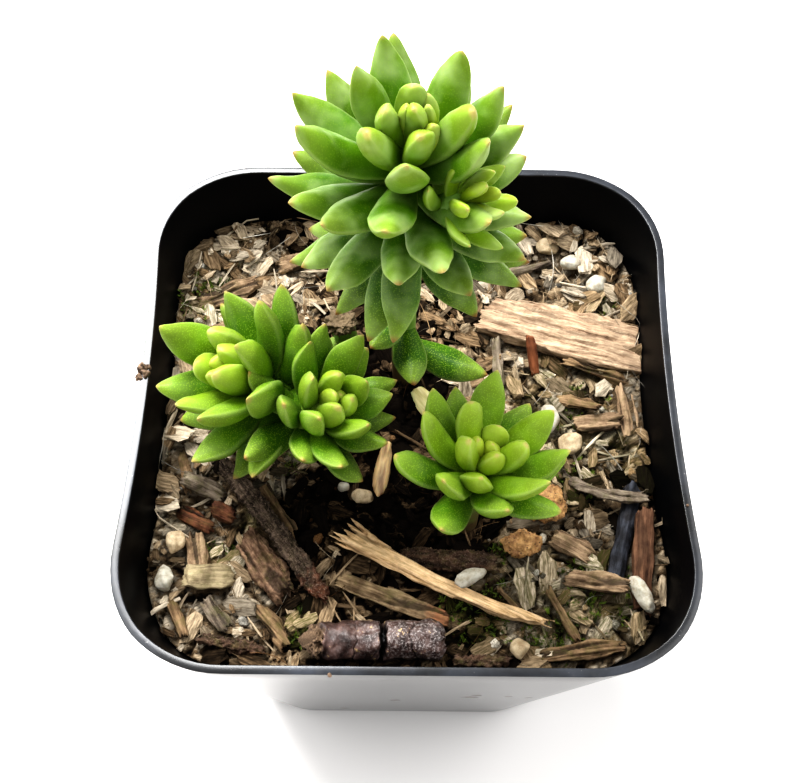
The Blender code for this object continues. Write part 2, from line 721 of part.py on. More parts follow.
def lay_wood(entry, number, pile):
    name, start, end, width, thickness, stuff = entry
    start = Vector(start) * MM
    end = Vector(end) * MM
    along = end - start
    roundness = 1 if stuff in ROUND_WOOD else SPLIT_SQUARENESS
    shape = wood_shape(along.length, width * MM, thickness * MM, number, BENDS.get(name, 0) * MM, roundness)
    item = make_object(name, shape, stuff)
    middle = (start + end) / 2
    heading = math.atan2(along.y, along.x)
    lay(item, (middle.x, middle.y), heading, along.length, width * MM, pile)
    smooth(item, 50)
    return item


def lay_stone(entry, number, pile):
    name, place, length, width, height, turn, stuff = entry
    shape = stone_shape(length * MM, width * MM, height * MM, number)
    item = make_object(name, shape, stuff)
    middle = (place[0] * MM, place[1] * MM)
    lay(item, middle, math.radians(turn), length * MM, width * MM, pile, level=True)
    smooth(item, 60)
    return item


def lay_old_leaf(entry, pile):
    name, root, tip, width, stuff = entry
    root = Vector(root) * MM
    along = Vector(tip) * MM - root
    start = Vector((-along.length / 2, 0, 0))
    item = leaf(name, start, Vector((1, 0, 0)), Vector((0, 0, 1)), along.length, width * MM, stuff)
    middle = root + along / 2
    lay(item, (middle.x, middle.y), math.atan2(along.y, along.x), along.length, width * MM, pile)
    smooth(item)
    return item


def lay_pieces():
    """Lays the wood, the grit and the old leaves on the soil and on each other."""
    pile = Pile()
    for number, entry in enumerate(WOOD):
        lay_wood(entry, number, pile)
    for number, entry in enumerate(STONES):
        lay_stone(entry, number, pile)
    for entry in OLD_LEAVES:
        lay_old_leaf(entry, pile)
    return pile


def make_stem_holes(soil):
    places = [Vector(stem[0]).xy * MM for stem in (TALL_STEM, CUT_STEM, SMALL_STEM)]
    low = SOIL_TOP - STEM_DEPTH - PILE_GAP
    cut(soil, rods("stem_cutter", places, STEM_RADIUS + PILE_GAP, low, POT_HEIGHT))


def main():
    clear_scene()
    make_pot()
    make_shoot("tall_shoot", ((TALL_STEM, TALL_HEAD), (BUD_STEM, TALL_BUD)), LOW_LEAVES)
    make_shoot("forked_shoot", ((CUT_STEM, None), (LEFT_STEM, LEFT_HEAD), (INNER_STEM, INNER_HEAD)))
    make_shoot("small_shoot", ((SMALL_STEM, SMALL_HEAD),))
    pile = lay_pieces()
    soil = make_soil(pile)
    make_stem_holes(soil)


main()
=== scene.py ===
import json
import math
import random

import bmesh
import bpy
import numpy as np
from mathutils import Matrix, Vector, noise
from mathutils.bvhtree import BVHTree


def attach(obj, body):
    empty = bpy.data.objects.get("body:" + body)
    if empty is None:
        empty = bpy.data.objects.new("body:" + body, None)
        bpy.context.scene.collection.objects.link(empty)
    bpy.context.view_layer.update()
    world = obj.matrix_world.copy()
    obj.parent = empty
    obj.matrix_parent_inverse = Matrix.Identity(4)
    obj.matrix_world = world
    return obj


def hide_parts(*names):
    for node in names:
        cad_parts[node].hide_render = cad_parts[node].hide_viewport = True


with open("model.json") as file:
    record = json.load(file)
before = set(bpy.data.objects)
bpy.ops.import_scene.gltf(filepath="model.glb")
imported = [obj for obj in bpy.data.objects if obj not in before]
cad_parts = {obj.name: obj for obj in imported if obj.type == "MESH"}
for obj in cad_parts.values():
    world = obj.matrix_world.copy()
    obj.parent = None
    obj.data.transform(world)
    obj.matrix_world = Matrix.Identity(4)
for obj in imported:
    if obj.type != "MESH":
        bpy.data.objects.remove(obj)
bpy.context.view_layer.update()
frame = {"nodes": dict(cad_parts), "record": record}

solids = frame["nodes"]
slots = {part["node"]: part["material_slot"] for part in frame["record"]["subparts"]}
MM = 0.001


# The view. A phone held above the front of the pot and turned steeply down.
# Its place, slope and lens are those that put the pot's rim and base where the picture has them.
down = math.radians(62.84)
yaw = math.radians(0.06)
roll = math.radians(0.6)
ahead = Vector((math.sin(yaw) * math.cos(down), math.cos(yaw) * math.cos(down), -math.sin(down)))
level = Vector((math.cos(yaw), -math.sin(yaw), 0))
above = level.cross(ahead)
phone = bpy.data.objects.new("phone", bpy.data.cameras.new("phone"))
phone.matrix_world = Matrix((
    level * math.cos(roll) + above * math.sin(roll),
    above * math.cos(roll) - level * math.sin(roll),
    -ahead,
)).transposed().to_4x4()
phone.matrix_world.translation = (-1.42 * MM, -61.73 * MM, 190.44 * MM)
phone.data.sensor_fit = "HORIZONTAL"
phone.data.sensor_width = 36
phone.data.lens = 49.35
phone.data.clip_start = 0.01
bpy.context.collection.objects.link(phone)
bpy.context.scene.camera = phone


# The table and the daylight. A plain white table by a window: soft light from everywhere,
# and a broad brighter patch of it from behind and to the left.
def put(tree, kind, inputs=None, **settings):
    """Adds a node with its settings, and links or sets its inputs."""
    node = tree.nodes.new(kind)
    for name, value in settings.items():
        setattr(node, name, value)
    for name, value in (inputs or {}).items():
        if isinstance(value, bpy.types.NodeSocket):
            tree.links.new(value, node.inputs[name])
        else:
            node.inputs[name].default_value = value
    return node


def mixed(tree, share, first, second, blend="MIX"):
    """A mix of two colours, each one a socket or a plain colour."""
    first, second = (c if isinstance(c, bpy.types.NodeSocket) else (*c, 1) for c in (first, second))
    inputs = {"Factor": share, "A": first, "B": second}
    return put(tree, "ShaderNodeMix", inputs, data_type="RGBA", blend_type=blend).outputs["Result"]


def finish(name, roughness=0.5, **constants):
    """A new material: its tree and its Principled shader, with what is the same all over it set."""
    made = bpy.data.materials.new(name)
    made.use_nodes = True
    shader = made.node_tree.nodes["Principled BSDF"]
    shader.inputs["Roughness"].default_value = roughness
    for socket, value in constants.items():
        shader.inputs[socket.replace("_", " ")].default_value = value
    return made, made.node_tree, shader


def dress(tree, shader, colour, height=None, strength=0.0, distance=0.0):
    """Gives a shader its colour and the bumps of a height."""
    tree.links.new(colour, shader.inputs["Base Color"])
    if height:
        bump = put(tree, "ShaderNodeBump", {"Height": height, "Strength": strength, "Distance": distance})
        tree.links.new(bump.outputs["Normal"], shader.inputs["Normal"])


def loose_piece(name, shape):
    """Turns a bmesh into an object that isn't in the scene yet."""
    mesh = bpy.data.meshes.new(name)
    shape.to_mesh(mesh)
    shape.free()
    return bpy.data.objects.new(name, mesh)


def mesh_piece(name, shape, *materials):
    """Turns a bmesh into a smooth object of the scene, made of these materials."""
    piece = loose_piece(name, shape)
    piece.data.shade_smooth()
    bpy.context.collection.objects.link(piece)
    for material in materials:
        piece.data.materials.append(material)
    return piece


TABLE_HALF = 1.2
white_table, tree, shader = finish("white_table", 0.55)
shade = put(tree, "ShaderNodeTexNoise", {"Scale": 3.0, "Detail": 2.0}).outputs["Fac"]
dress(tree, shader, mixed(tree, shade, (0.85, 0.825, 0.805), (0.88, 0.855, 0.835)))
shape = bmesh.new()
bmesh.ops.create_grid(shape, x_segments=1, y_segments=1, size=TABLE_HALF)
table = mesh_piece("table", shape, white_table)

sky = bpy.data.worlds.new("daylight")
sky.use_nodes = True
sky.node_tree.nodes["Background"].inputs["Color"].default_value = (0.97, 0.985, 1, 1)
sky.node_tree.nodes["Background"].inputs["Strength"].default_value = 0.7
bpy.context.scene.world = sky

LIT_PLACE = Vector((0, 0, 60 * MM))
for name, place, size, power in (
    ("window", (-0.2, 0.38, 0.64), 0.45, 8.6),
    ("left_wall", (-0.5, 0.1, 0.66), 0.6, 1.8),
    ("right_wall", (0.48, 0.1, 0.66), 0.6, 2.3),
):
    lamp = bpy.data.objects.new(name, bpy.data.lights.new(name, "AREA"))
    lamp.data.shape = "DISK"
    lamp.data.size = size
    lamp.data.energy = power
    lamp.location = place
    lamp.rotation_euler = (LIT_PLACE - lamp.location).to_track_quat("-Z", "Y").to_euler()
    bpy.context.collection.objects.link(lamp)
bpy.context.scene.view_settings.view_transform = "Standard"
bpy.context.scene.view_settings.look = "High Contrast"


# The pot. One thin black plastic nursery pot, blow-moulded with a tapered, rounded square section,
# a plain flat rim and four drain holes. It is glossy, and scuffed and dusty at the rim.
POT_HEIGHT = 70 * MM
RIM_HALF = 35 * MM
RIM_CORNER = 14.5 * MM
BASE_HALF = 25.5 * MM
BASE_CORNER = 11 * MM
SIDE_PINCH = 1.6 * MM
PINCH_REACH = 0.3
WALL = 1.0 * MM
FLOOR = 1.4 * MM
FOOT_ROUND = 0.8 * MM
LIP_ROUND = 0.09 * MM
POT_STEPS = 44
WALL_STEPS = 10
DRAIN_RADIUS = 2.5 * MM
DRAIN_SPREAD = 15 * MM


def between(start, end, share):
    return start + (end - start) * share


def pot_point(u, v, z, inset=0.0):
    """Maps a point of the square from -1 to 1 onto the pot's outline at height z."""
    share = z / POT_HEIGHT
    half = between(BASE_HALF, RIM_HALF, share) - inset
    corner = between(BASE_CORNER, RIM_CORNER, share) - inset
    reach = max(abs(u), abs(v))
    if reach == 0:
        return Vector((0, 0, z))
    straight = half - corner
    straight_share = (RIM_HALF - RIM_CORNER) / (RIM_HALF - RIM_CORNER + RIM_CORNER * math.pi / 4)
    on_x_side = abs(u) >= abs(v)
    along = (v if on_x_side else u) / reach
    if abs(along) <= straight_share:
        outward = half
        sideways = along / straight_share * straight
    else:
        angle = (abs(along) - straight_share) / (1 - straight_share) * math.pi / 4
        outward = straight + corner * math.cos(angle)
        sideways = math.copysign(straight + corner * math.sin(angle), along)
    if on_x_side:
        x, y = math.copysign(outward, u), sideways
    else:
        x, y = sideways, math.copysign(outward, v)
    bend = 1 - (y / (half - PINCH_REACH * corner)) ** 2
    x -= math.copysign(SIDE_PINCH * share * max(bend, 0), x)
    return Vector((x * reach, y * reach, z))


def square_edge(steps):
    """Points round the edge of the square from -1 to 1."""
    run = [2 * index / steps - 1 for index in range(steps)]
    return (
        [(1, v) for v in run]
        + [(-u, 1) for u in run]
        + [(-1, -v) for v in run]
        + [(u, -1) for u in run]
    )


def join_rings(shape, rings, close_start=True, close_end=True):
    """Bridges rings of equal length and caps the ends."""
    for lower, upper in zip(rings, rings[1:]):
        for index in range(len(lower)):
            after = (index + 1) % len(lower)
            shape.faces.new((lower[index], lower[after], upper[after], upper[index]))
    if close_start:
        shape.faces.new(list(reversed(rings[0])))
    if close_end:
        shape.faces.new(rings[-1])


def quarter(radius, steps, start, end):
    """Points of a quarter round as (height, inset) from its corner."""
    turns = [between(start, end, step / steps) for step in range(steps + 1)]
    return [(radius * (1 - math.cos(turn)), radius * (1 - math.sin(turn))) for turn in turns]


def baked(piece):
    """Applies the piece's modifiers."""
    evaluated = piece.evaluated_get(bpy.context.evaluated_depsgraph_get())
    made = bpy.data.meshes.new_from_object(evaluated)
    piece.modifiers.clear()
    old = piece.data
    piece.data = made
    bpy.data.meshes.remove(old)


def face_outward(shape):
    bmesh.ops.recalc_face_normals(shape, faces=shape.faces)


def reckon(tree, operation, first, second):
    return put(tree, "ShaderNodeMath", {0: first, 1: second}, operation=operation).outputs[0]


def times(tree, first, second):
    return reckon(tree, "MULTIPLY", first, second)


def mapped(tree, value, low, high, to_low=0.0, to_high=1.0, **settings):
    """Goes from to_low to to_high as the value goes from low to high."""
    inputs = {"Value": value, "From Min": low, "From Max": high, "To Min": to_low, "To Max": to_high}
    return put(tree, "ShaderNodeMapRange", inputs, **settings).outputs["Result"]


def noisy(tree, place, scale, detail, roughness=0.5):
    inputs = {"Vector": place, "Scale": scale, "Detail": detail, "Roughness": roughness}
    return put(tree, "ShaderNodeTexNoise", inputs).outputs["Fac"]


def own_place(tree):
    return put(tree, "ShaderNodeTexCoord").outputs["Object"]


def scaled(tree, place, *scale):
    return put(tree, "ShaderNodeMapping", {"Vector": place, "Scale": scale}).outputs[0]


def attribute(tree, name, output="Fac"):
    return put(tree, "ShaderNodeAttribute", attribute_name=name).outputs[output]


def colour_ramp(tree, share, *colours):
    """A colour ramp through these (position, colour) pairs."""
    node = put(tree, "ShaderNodeValToRGB", {"Fac": share})
    elements = node.color_ramp.elements
    while len(elements) < len(colours):
        elements.new(1.0)
    for element, (position, colour) in zip(elements, colours):
        element.position = position
        element.color = (*colour, 1)
    return node.outputs["Color"]


foot = quarter(FOOT_ROUND, 4, 0, math.pi / 2)
lip = [(POT_HEIGHT - rise, inset) for rise, inset in reversed(quarter(LIP_ROUND, 3, 0, math.pi / 2))]
wall = [(between(FOOT_ROUND, POT_HEIGHT - LIP_ROUND, step / WALL_STEPS), 0) for step in range(1, WALL_STEPS)]
inner_lip = [(z, WALL - inset) for z, inset in reversed(lip)]
inner_wall = [(between(POT_HEIGHT - LIP_ROUND, FLOOR, step / WALL_STEPS), WALL) for step in range(1, WALL_STEPS + 1)]
shape = bmesh.new()
outside = shape.verts.layers.float.new("outside")
rings = []
for z, inset in foot + wall + lip + inner_lip + inner_wall:
    ring = [shape.verts.new(pot_point(u, v, z, inset)) for u, v in square_edge(POT_STEPS)]
    for vertex in ring:
        vertex[outside] = 1 if (z, inset) in foot + wall + lip else 0
    rings.append(ring)
join_rings(shape, rings)
face_outward(shape)

# Pot plastic: near black, greyer and rougher where dust and scuffs lie, most of all along the rim.
# The front bears a few smears of dried mix, each given by its place and reach in mm.
SMEARS = (
    ((9.3, -30.5, 36.9), 1.1), ((9.9, -30.9, 40.5), 0.7), ((22.4, -29.9, 32.5), 1.3), ((22.9, -30.3, 37.0), 0.8),
    ((14.5, -30.8, 38.5), 0.6), ((17.5, -30.6, 36.5), 0.5), ((-9.3, -26.6, 7.8), 0.7), ((-1.1, -29.4, 29.0), 0.8),
)
black_plastic, tree, shader = finish("black_plastic", Specular_IOR_Level=0.1, Coat_Roughness=0.22)
place = own_place(tree)
outer = attribute(tree, "outside")
height = put(tree, "ShaderNodeSeparateXYZ", {"Vector": place}).outputs["Z"]
near_rim = mapped(tree, height, 0.0697, 0.0699)
speck = mapped(tree, noisy(tree, place, 2300, 2), 0.7, 0.8)
clouds = noisy(tree, place, 90, 5, 0.6)
clouded = mapped(tree, clouds, 0.4, 0.7)
streaks = noisy(tree, scaled(tree, place, 1, 1, 0.06), 700, 3)
dust = times(tree, clouded, mapped(tree, streaks, 0.55, 0.9))
scuffed = times(tree, near_rim, clouded)
colour = mixed(tree, scuffed, (0.003, 0.0032, 0.004), (0.038, 0.043, 0.055))
colour = mixed(tree, times(tree, dust, outer), colour, (0.06, 0.054, 0.047))
colour = mixed(tree, times(tree, near_rim, speck), colour, (0.2, 0.195, 0.19))
ragged = noisy(tree, place, 1100, 4)
smeared = None
for (x, y, z), reach in SMEARS:
    away = put(tree, "ShaderNodeVectorMath", {0: place, 1: (x * MM, y * MM, z * MM)}, operation="DISTANCE")
    ragged_away = reckon(tree, "ADD", away.outputs["Value"], times(tree, ragged, 1.4 * reach * MM))
    spot = mapped(tree, ragged_away, 1.9 * reach * MM, 1.1 * reach * MM)
    smeared = spot if smeared is None else reckon(tree, "MAXIMUM", smeared, spot)
waves = noisy(tree, place, 45, 1)
relief = reckon(tree, "ADD", waves, times(tree, streaks, 0.03))
dress(tree, shader, mixed(tree, smeared, colour, (0.1, 0.07, 0.045)), relief, 0.25, 0.0006)
shiny = reckon(tree, "MAXIMUM", outer, near_rim)
coat = times(tree, shiny, reckon(tree, "SUBTRACT", 1.0, smeared))
tree.links.new(coat, shader.inputs["Coat Weight"])
tree.links.new(mapped(tree, clouds, 0, 1, 0.3, 0.5), shader.inputs["Roughness"])

nursery_pot = mesh_piece("nursery_pot", shape, black_plastic)
shape = bmesh.new()
for x in (-DRAIN_SPREAD, DRAIN_SPREAD):
    for y in (-DRAIN_SPREAD, DRAIN_SPREAD):
        bmesh.ops.create_cone(
            shape,
            cap_ends=True,
            segments=32,
            radius1=DRAIN_RADIUS,
            radius2=DRAIN_RADIUS,
            depth=4 * FLOOR,
            matrix=Matrix.Translation((x, y, FLOOR / 2)),
        )
drill = mesh_piece("drill", shape, black_plastic)
boolean = nursery_pot.modifiers.new("Drain", "BOOLEAN")
boolean.operation = "DIFFERENCE"
boolean.solver = "EXACT"
boolean.object = drill
baked(nursery_pot)
bpy.data.objects.remove(drill, do_unlink=True)
nursery_pot.data.shade_smooth()
nursery_pot.data.set_sharp_from_angle(angle=math.radians(35))
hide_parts("pot")
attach(nursery_pot, "root")

# A crumb of dry mix clings to the left of the rim, and a small one to the front.
dry_dirt, tree, shader = finish("dry_dirt", 0.9)
crumbly = noisy(tree, own_place(tree), 2200, 4)
dress(tree, shader, colour_ramp(tree, crumbly, (0.35, (0.05, 0.03, 0.02)), (0.65, (0.32, 0.22, 0.15))))
DIRT_SCALE = 1800
DIRT_RUGGED = 0.45
shape = bmesh.new()
for x, y, z, size in (
    (-33.3, 2.9, 70.1, 0.7), (-32.8, 2.2, 70.2, 0.55), (-33.6, 1.8, 69.9, 0.5), (-32.6, 3.2, 70.0, 0.4),
    (-8.4, -35.0, 69.9, 0.22), (33.2, -14.7, 70.1, 0.2),
):
    made = bmesh.ops.create_icosphere(shape, subdivisions=3, radius=size * MM)["verts"]
    for vertex in made:
        vertex.co *= 1 + DIRT_RUGGED * noise.fractal(vertex.co * DIRT_SCALE + Vector((x, y, z)), 1, 2, 3)
        vertex.co += Vector((x, y, z)) * MM
rim_dirt = mesh_piece("rim_dirt", shape, dry_dirt)
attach(rim_dirt, "root")


# The potting mix. Peat, fine bark and chips, pressed into the pot, dark and damp. It is one filled body.
# Its top is made of chips that lie at all angles, and is higher by the walls. Painted shade makes it black in the
# gaps between chips, under pieces and in crevices, and darker under the heads; some drier spots are paler, partly as
# painted light.
MIX_STEPS = 236
MIX_INSET = WALL + 0.25 * MM
MIX_LEVEL = POT_HEIGHT - 10 * MM
CHIP_SIZES = ((2.6, 0.5), (1.2, 0.3))
# Places and reaches in mm.
MOSS_SPOTS = (
    (12, -17, 2.6), (9, -25, 5.5), (24, -22, 6), (18, -28, 4.5), (-13, -27, 3), (-24, -19, 3.5),
    (23, 3, 4.5), (-27, 19, 5), (-20, 14, 4), (27, 17, 4), (22, -8, 3.5), (-16, -5, 3),
)
# Drier spots, where the mix is paler: partly dry mix, partly painted light where the mix lies lit.
DRY_AND_LIT_SPOTS = (
    (-22, 20, 15), (22, 23, 17), (25, 2, 14), (-27, 6, 9), (-27, -9, 12), (-24, -22, 12), (25, -19, 9),
    (0, 28, 12), (19, -24, 15), (10, 6, 8), (-17, -6, 8), (15, 14, 8),
)
# Painted shade: spots under the heads, where the mix is painted darker.
SHADED_SPOTS = ((-4, -9, 11), (3, -12, 10), (-8, 8, 9), (0, 4, 8), (-12, -12, 5), (9, -25, 4))
OLIVE_SPOTS = ((22, 0, 14), (20, -24, 11), (-22, -14, 9), (-24, 14, 8))
CREVICE_SCALE = 210
CREVICE_WIDTH = 0.15
CREVICE_DEPTH = 0.9 * MM
WALL_RISE = 1.5 * MM
# Where the mix starts to rise to the walls and how soon it is up, as shares of the pot's half width.
WALL_BAND = (0.84, 0.12)
FRONT_BAND = (-0.9, 0.3)
ROUGHNESS_SCALE = 900
ROUGHNESS = 0.22
ABOVE_FLOOR = 0.3 * MM
CHIP_WARP = 0.35
CHIP_WARP_SCALE = 190
CHIP_ASPECT = 1.5
CHIP_SLOPE = 1.5
CHIP_GAP = 0.22
GAP_DROP = 1.1
DEEPEST, HIGHEST = -0.55, 0.45
FLAT_UNDER_PIECES = 0.15
MIX_SEED = 7


def surface_of(names):
    """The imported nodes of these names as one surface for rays."""
    points = []
    faces = []
    for name in names:
        first = len(points)
        mesh = solids[name].data
        points += [vertex.co.copy() for vertex in mesh.vertices]
        faces += [[first + index for index in face.vertices] for face in mesh.polygons]
    return BVHTree.FromPolygons(points, faces)


def nearness(x, y, spots):
    """How near a place is to any of the spots, from 0 to 1."""
    best = 0.0
    for spot_x, spot_y, radius in spots:
        away = math.hypot(x - spot_x * MM, y - spot_y * MM) / (radius * MM)
        best = max(best, 1 - away)
    return min(1, best * 2)


def set_attribute(mesh, name, values):
    """Keeps a number or a vector for each point of the mesh."""
    values = np.asarray(values, np.float32)
    kind, field = ("FLOAT_VECTOR", "vector") if values.ndim == 2 else ("FLOAT", "value")
    mesh.attributes.new(name, kind, "POINT").data.foreach_set(field, values.ravel())


packed_soil = surface_of(["soil"])
shoot_names = ("tall_shoot", "forked_shoot", "small_shoot")
packed_pieces = surface_of([name for name in solids if name not in ("pot", "soil", *shoot_names)])


def packed_height(x, y):
    """Top of the packed soil at a place, which is looked for a little further in by the wall."""
    for share in (1, 0.985, 0.96):
        hit = packed_soil.ray_cast(Vector((x * share, y * share, 0.2)), Vector((0, 0, -1)))[0]
        if hit:
            return hit.z
    return MIX_LEVEL


def covered(x, y, z, reach):
    """Whether a piece lies above a place, or above one of four places round it."""
    for dx, dy in ((0, 0), (reach, 0), (-reach, 0), (0, reach), (0, -reach)):
        if packed_pieces.ray_cast(Vector((x + dx, y + dy, z - 2 * MM)), Vector((0, 0, 1)))[0]:
            return True
    return False


def chip_at(x, y, size, relief):
    """The chip of this size at a place: rise of its surface, gap beside it to be painted black as shade, tone, place
    along its grain.
    """
    warp = noise.noise_vector(Vector((x, y, 0)) * CHIP_WARP_SCALE) * CHIP_WARP
    place = Vector((x / (size * MM) + warp.x, y / (size * MM) * CHIP_ASPECT + warp.y, size))
    distances, points = noise.voronoi(place)
    middle = points[0]
    chance = noise.cell_vector(middle * 37.7)
    from_middle = place - middle
    slope = Vector((chance.x - 0.5, chance.y - 0.5, 0)) * CHIP_SLOPE
    gap = 1 - min((distances[1] - distances[0]) / CHIP_GAP, 1)
    rise = relief * (chance.z - 0.5 + slope.dot(from_middle)) - relief * GAP_DROP * gap
    turn = chance.x * 2 * math.pi
    grain = Matrix.Rotation(turn, 3, "Z") @ from_middle * (size / 2.5) + chance * 40
    return rise, gap, chance.y, grain


noise.seed_set(MIX_SEED)
shape = bmesh.new()
grid = []
facts = {name: [] for name in ("open", "gap", "tone", "moss", "film", "dry", "grain")}
for row in range(MIX_STEPS + 1):
    line = []
    for column in range(MIX_STEPS + 1):
        u = 2 * column / MIX_STEPS - 1
        v = 2 * row / MIX_STEPS - 1
        flat = pot_point(u, v, MIX_LEVEL, MIX_INSET)
        z = packed_height(flat.x, flat.y)
        at_wall = row in (0, MIX_STEPS) or column in (0, MIX_STEPS)
        hidden = at_wall or covered(flat.x, flat.y, z, 0.4 * MM)
        large, small = (chip_at(flat.x, flat.y, size, relief) for size, relief in CHIP_SIZES)
        rise, gap, tone, grain = max(large, small, key=lambda chip: chip[0])
        crumbly = noise.fractal(flat * ROUGHNESS_SCALE, 1.0, 2.1, 3) * ROUGHNESS
        fold = abs(noise.noise(Vector((flat.x, flat.y, 0.003)) * CREVICE_SCALE))
        crevice = 0.0 if hidden else max(0, 1 - fold / CREVICE_WIDTH)
        from_middle, past_front = max(abs(u), v) - WALL_BAND[0], v - FRONT_BAND[0]
        by_wall = min(max(from_middle / WALL_BAND[1], 0), 1) * min(max(past_front / FRONT_BAND[1], 0), 1)
        z += (FLAT_UNDER_PIECES if hidden else 1.0) * MM * (min(max(rise, DEEPEST), HIGHEST) + crumbly)
        z += WALL_RISE * by_wall - CREVICE_DEPTH * crevice
        line.append(shape.verts.new(pot_point(u, v, z, MIX_INSET)))
        mossy, olive, dry, painted_shade = (
            nearness(flat.x, flat.y, spots) for spots in (MOSS_SPOTS, OLIVE_SPOTS, DRY_AND_LIT_SPOTS, SHADED_SPOTS)
        )
        moss = mossy * (0.6 + 1.2 * noise.noise(flat * 500))
        olive *= 0.25 + 1.2 * noise.noise(flat * 260)
        # Fewer crumbs lie in the painted-shade spots and in crevices, so the dark mix shows there.
        facts["open"].append(0.0 if hidden else (1 - 0.6 * painted_shade) * (1 - 0.7 * crevice))
        # Painted shade: the mix is painted near black in the gaps between chips, under pieces, at the wall and in
        # crevices.
        facts["gap"].append(max(gap, 0.6 if hidden else 0, 0.9 * crevice))
        facts["tone"].append(tone)
        facts["moss"].append(min(max(moss, 0), 1))
        facts["film"].append(min(max(moss, olive, 0), 1))
        # Painted light and shade: paler in the drier, lit spots, darker in the shaded spots and in crevices.
        facts["dry"].append(max(dry * (1 - painted_shade) - 0.7 * painted_shade - 0.8 * crevice, -0.7))
        facts["grain"].append(grain)
    grid.append(line)
for near, far in zip(grid, grid[1:]):
    for column in range(MIX_STEPS):
        shape.faces.new((near[column], near[column + 1], far[column + 1], far[column]))
edge = [line[-1] for line in grid[:-1]] + list(reversed(grid[-1][1:]))
edge += [line[0] for line in reversed(grid[1:])] + grid[0][:-1]
bottom = [shape.verts.new(pot_point(u, v, FLOOR + ABOVE_FLOOR, MIX_INSET)) for u, v in square_edge(MIX_STEPS)]
join_rings(shape, [bottom, edge], close_end=False)
for name, values in facts.items():
    values += [(0, 0, 0) if name == "grain" else 0.0] * len(bottom)


def crumb_material(name, colours, roughness):
    """Fibrous crumbs: each has its own tone from the colours, fine streaks along it, and painted light and shade from
    the mix below.
    """
    made, tree, shader = finish(name, roughness, Specular_IOR_Level=0.08)
    tone = attribute(tree, "tone")
    spread = times(tree, tone, 90)
    shift = put(tree, "ShaderNodeCombineXYZ", {"X": spread, "Y": spread}).outputs[0]
    grain = attribute(tree, "grain", "Vector")
    own = put(tree, "ShaderNodeVectorMath", {0: grain, 1: shift}, operation="ADD").outputs[0]
    fibres = noisy(tree, scaled(tree, own, 2.0, 13, 13), 1, 5, 0.7)
    # Painted light and shade from the mix make the tone paler or darker.
    lit = reckon(tree, "ADD", tone, mapped(tree, attribute(tree, "dry"), -0.7, 1, -0.7, 0.3))
    shade = reckon(tree, "ADD", lit, mapped(tree, fibres, 0, 1, -0.25, 0.25))
    streak = mapped(tree, fibres, 0.32, 0.62, 0.3, 1.25)
    colour = mixed(tree, 1.0, colour_ramp(tree, shade, *colours), streak, "MULTIPLY")
    clinging = mapped(tree, fibres, 0.62, 0.4, 0, 0.8)
    film = times(tree, attribute(tree, "film"), clinging)
    colour = mixed(tree, film, colour, (0.14, 0.14, 0.04))
    # Painted shade: near black in the gaps, under pieces and in crevices.
    colour = mixed(tree, attribute(tree, "gap"), colour, (0.004, 0.0026, 0.0016))
    dress(tree, shader, colour, fibres, 0.8, 0.0003)
    return made


BARK_TONES = (
    (0.0, (0.01, 0.0065, 0.004)), (0.17, (0.07, 0.046, 0.026)), (0.38, (0.26, 0.18, 0.106)),
    (0.62, (0.41, 0.31, 0.2)), (0.85, (0.5, 0.4, 0.28)), (1.0, (0.58, 0.495, 0.38)),
)
GRIT_TONES = (
    (0.0, (0.2, 0.11, 0.05)), (0.3, (0.4, 0.27, 0.15)), (0.6, (0.54, 0.46, 0.34)), (1.0, (0.66, 0.62, 0.54)),
)
bark_crumbs = crumb_material("bark_crumbs", BARK_TONES, 0.85)
grit_crumbs = crumb_material("grit_crumbs", GRIT_TONES, 0.7)
face_outward(shape)
potting_mix = mesh_piece("potting_mix", shape, bark_crumbs)
for name, values in facts.items():
    set_attribute(potting_mix.data, name, values)
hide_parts("soil")
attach(potting_mix, "root")


# The crumbs of the mix. Granules of peat, flakes and slivers of bark, hair-thin roots and small grit, shaken
# loosely over each other. Each kind is a few rough shapes, strewn over the mix and turned at random.
def new_tree(kind, name, inputs, outputs):
    """An empty node tree and what it is given. Inputs and outputs are names with their kinds of socket."""
    tree = bpy.data.node_groups.new(name, kind + "NodeTree")
    for way, sockets in (("INPUT", inputs), ("OUTPUT", outputs)):
        for socket, of_kind in sockets.items():
            tree.interface.new_socket(socket, in_out=way, socket_type="NodeSocket" + of_kind)
    return tree, put(tree, "NodeGroupInput").outputs


def named(tree, name, kind="FLOAT"):
    return put(tree, "GeometryNodeInputNamedAttribute", {"Name": name}, data_type=kind).outputs["Attribute"]


def lot(tree, inputs):
    """A random number for each instance."""
    return put(tree, "FunctionNodeRandomValue", inputs, data_type="FLOAT").outputs[1]


def upright(tree, x, y, z):
    return put(tree, "ShaderNodeCombineXYZ", {"X": x, "Y": y, "Z": z}).outputs[0]


def set_on(tree, points, instance, euler, scale, **inputs):
    """Sets an instance on each of the points, turned and scaled."""
    turn = put(tree, "FunctionNodeEulerToRotation", {"Euler": euler}).outputs[0]
    inputs = {"Points": points, "Instance": instance, "Rotation": turn, "Scale": scale, **inputs}
    return put(tree, "GeometryNodeInstanceOnPoints", inputs).outputs[0]


def realized(tree, instances):
    return put(tree, "GeometryNodeRealizeInstances", {"Geometry": instances}).outputs[0]


def end_tree(tree, geometry, material):
    """Ends a tree with its geometry in one material."""
    made = put(tree, "GeometryNodeSetMaterial", {"Geometry": geometry, "Material": material}).outputs[0]
    put(tree, "NodeGroupOutput", {"Made": made})
    return tree


LARGEST_LOT = 3
TONE_SEED = 5


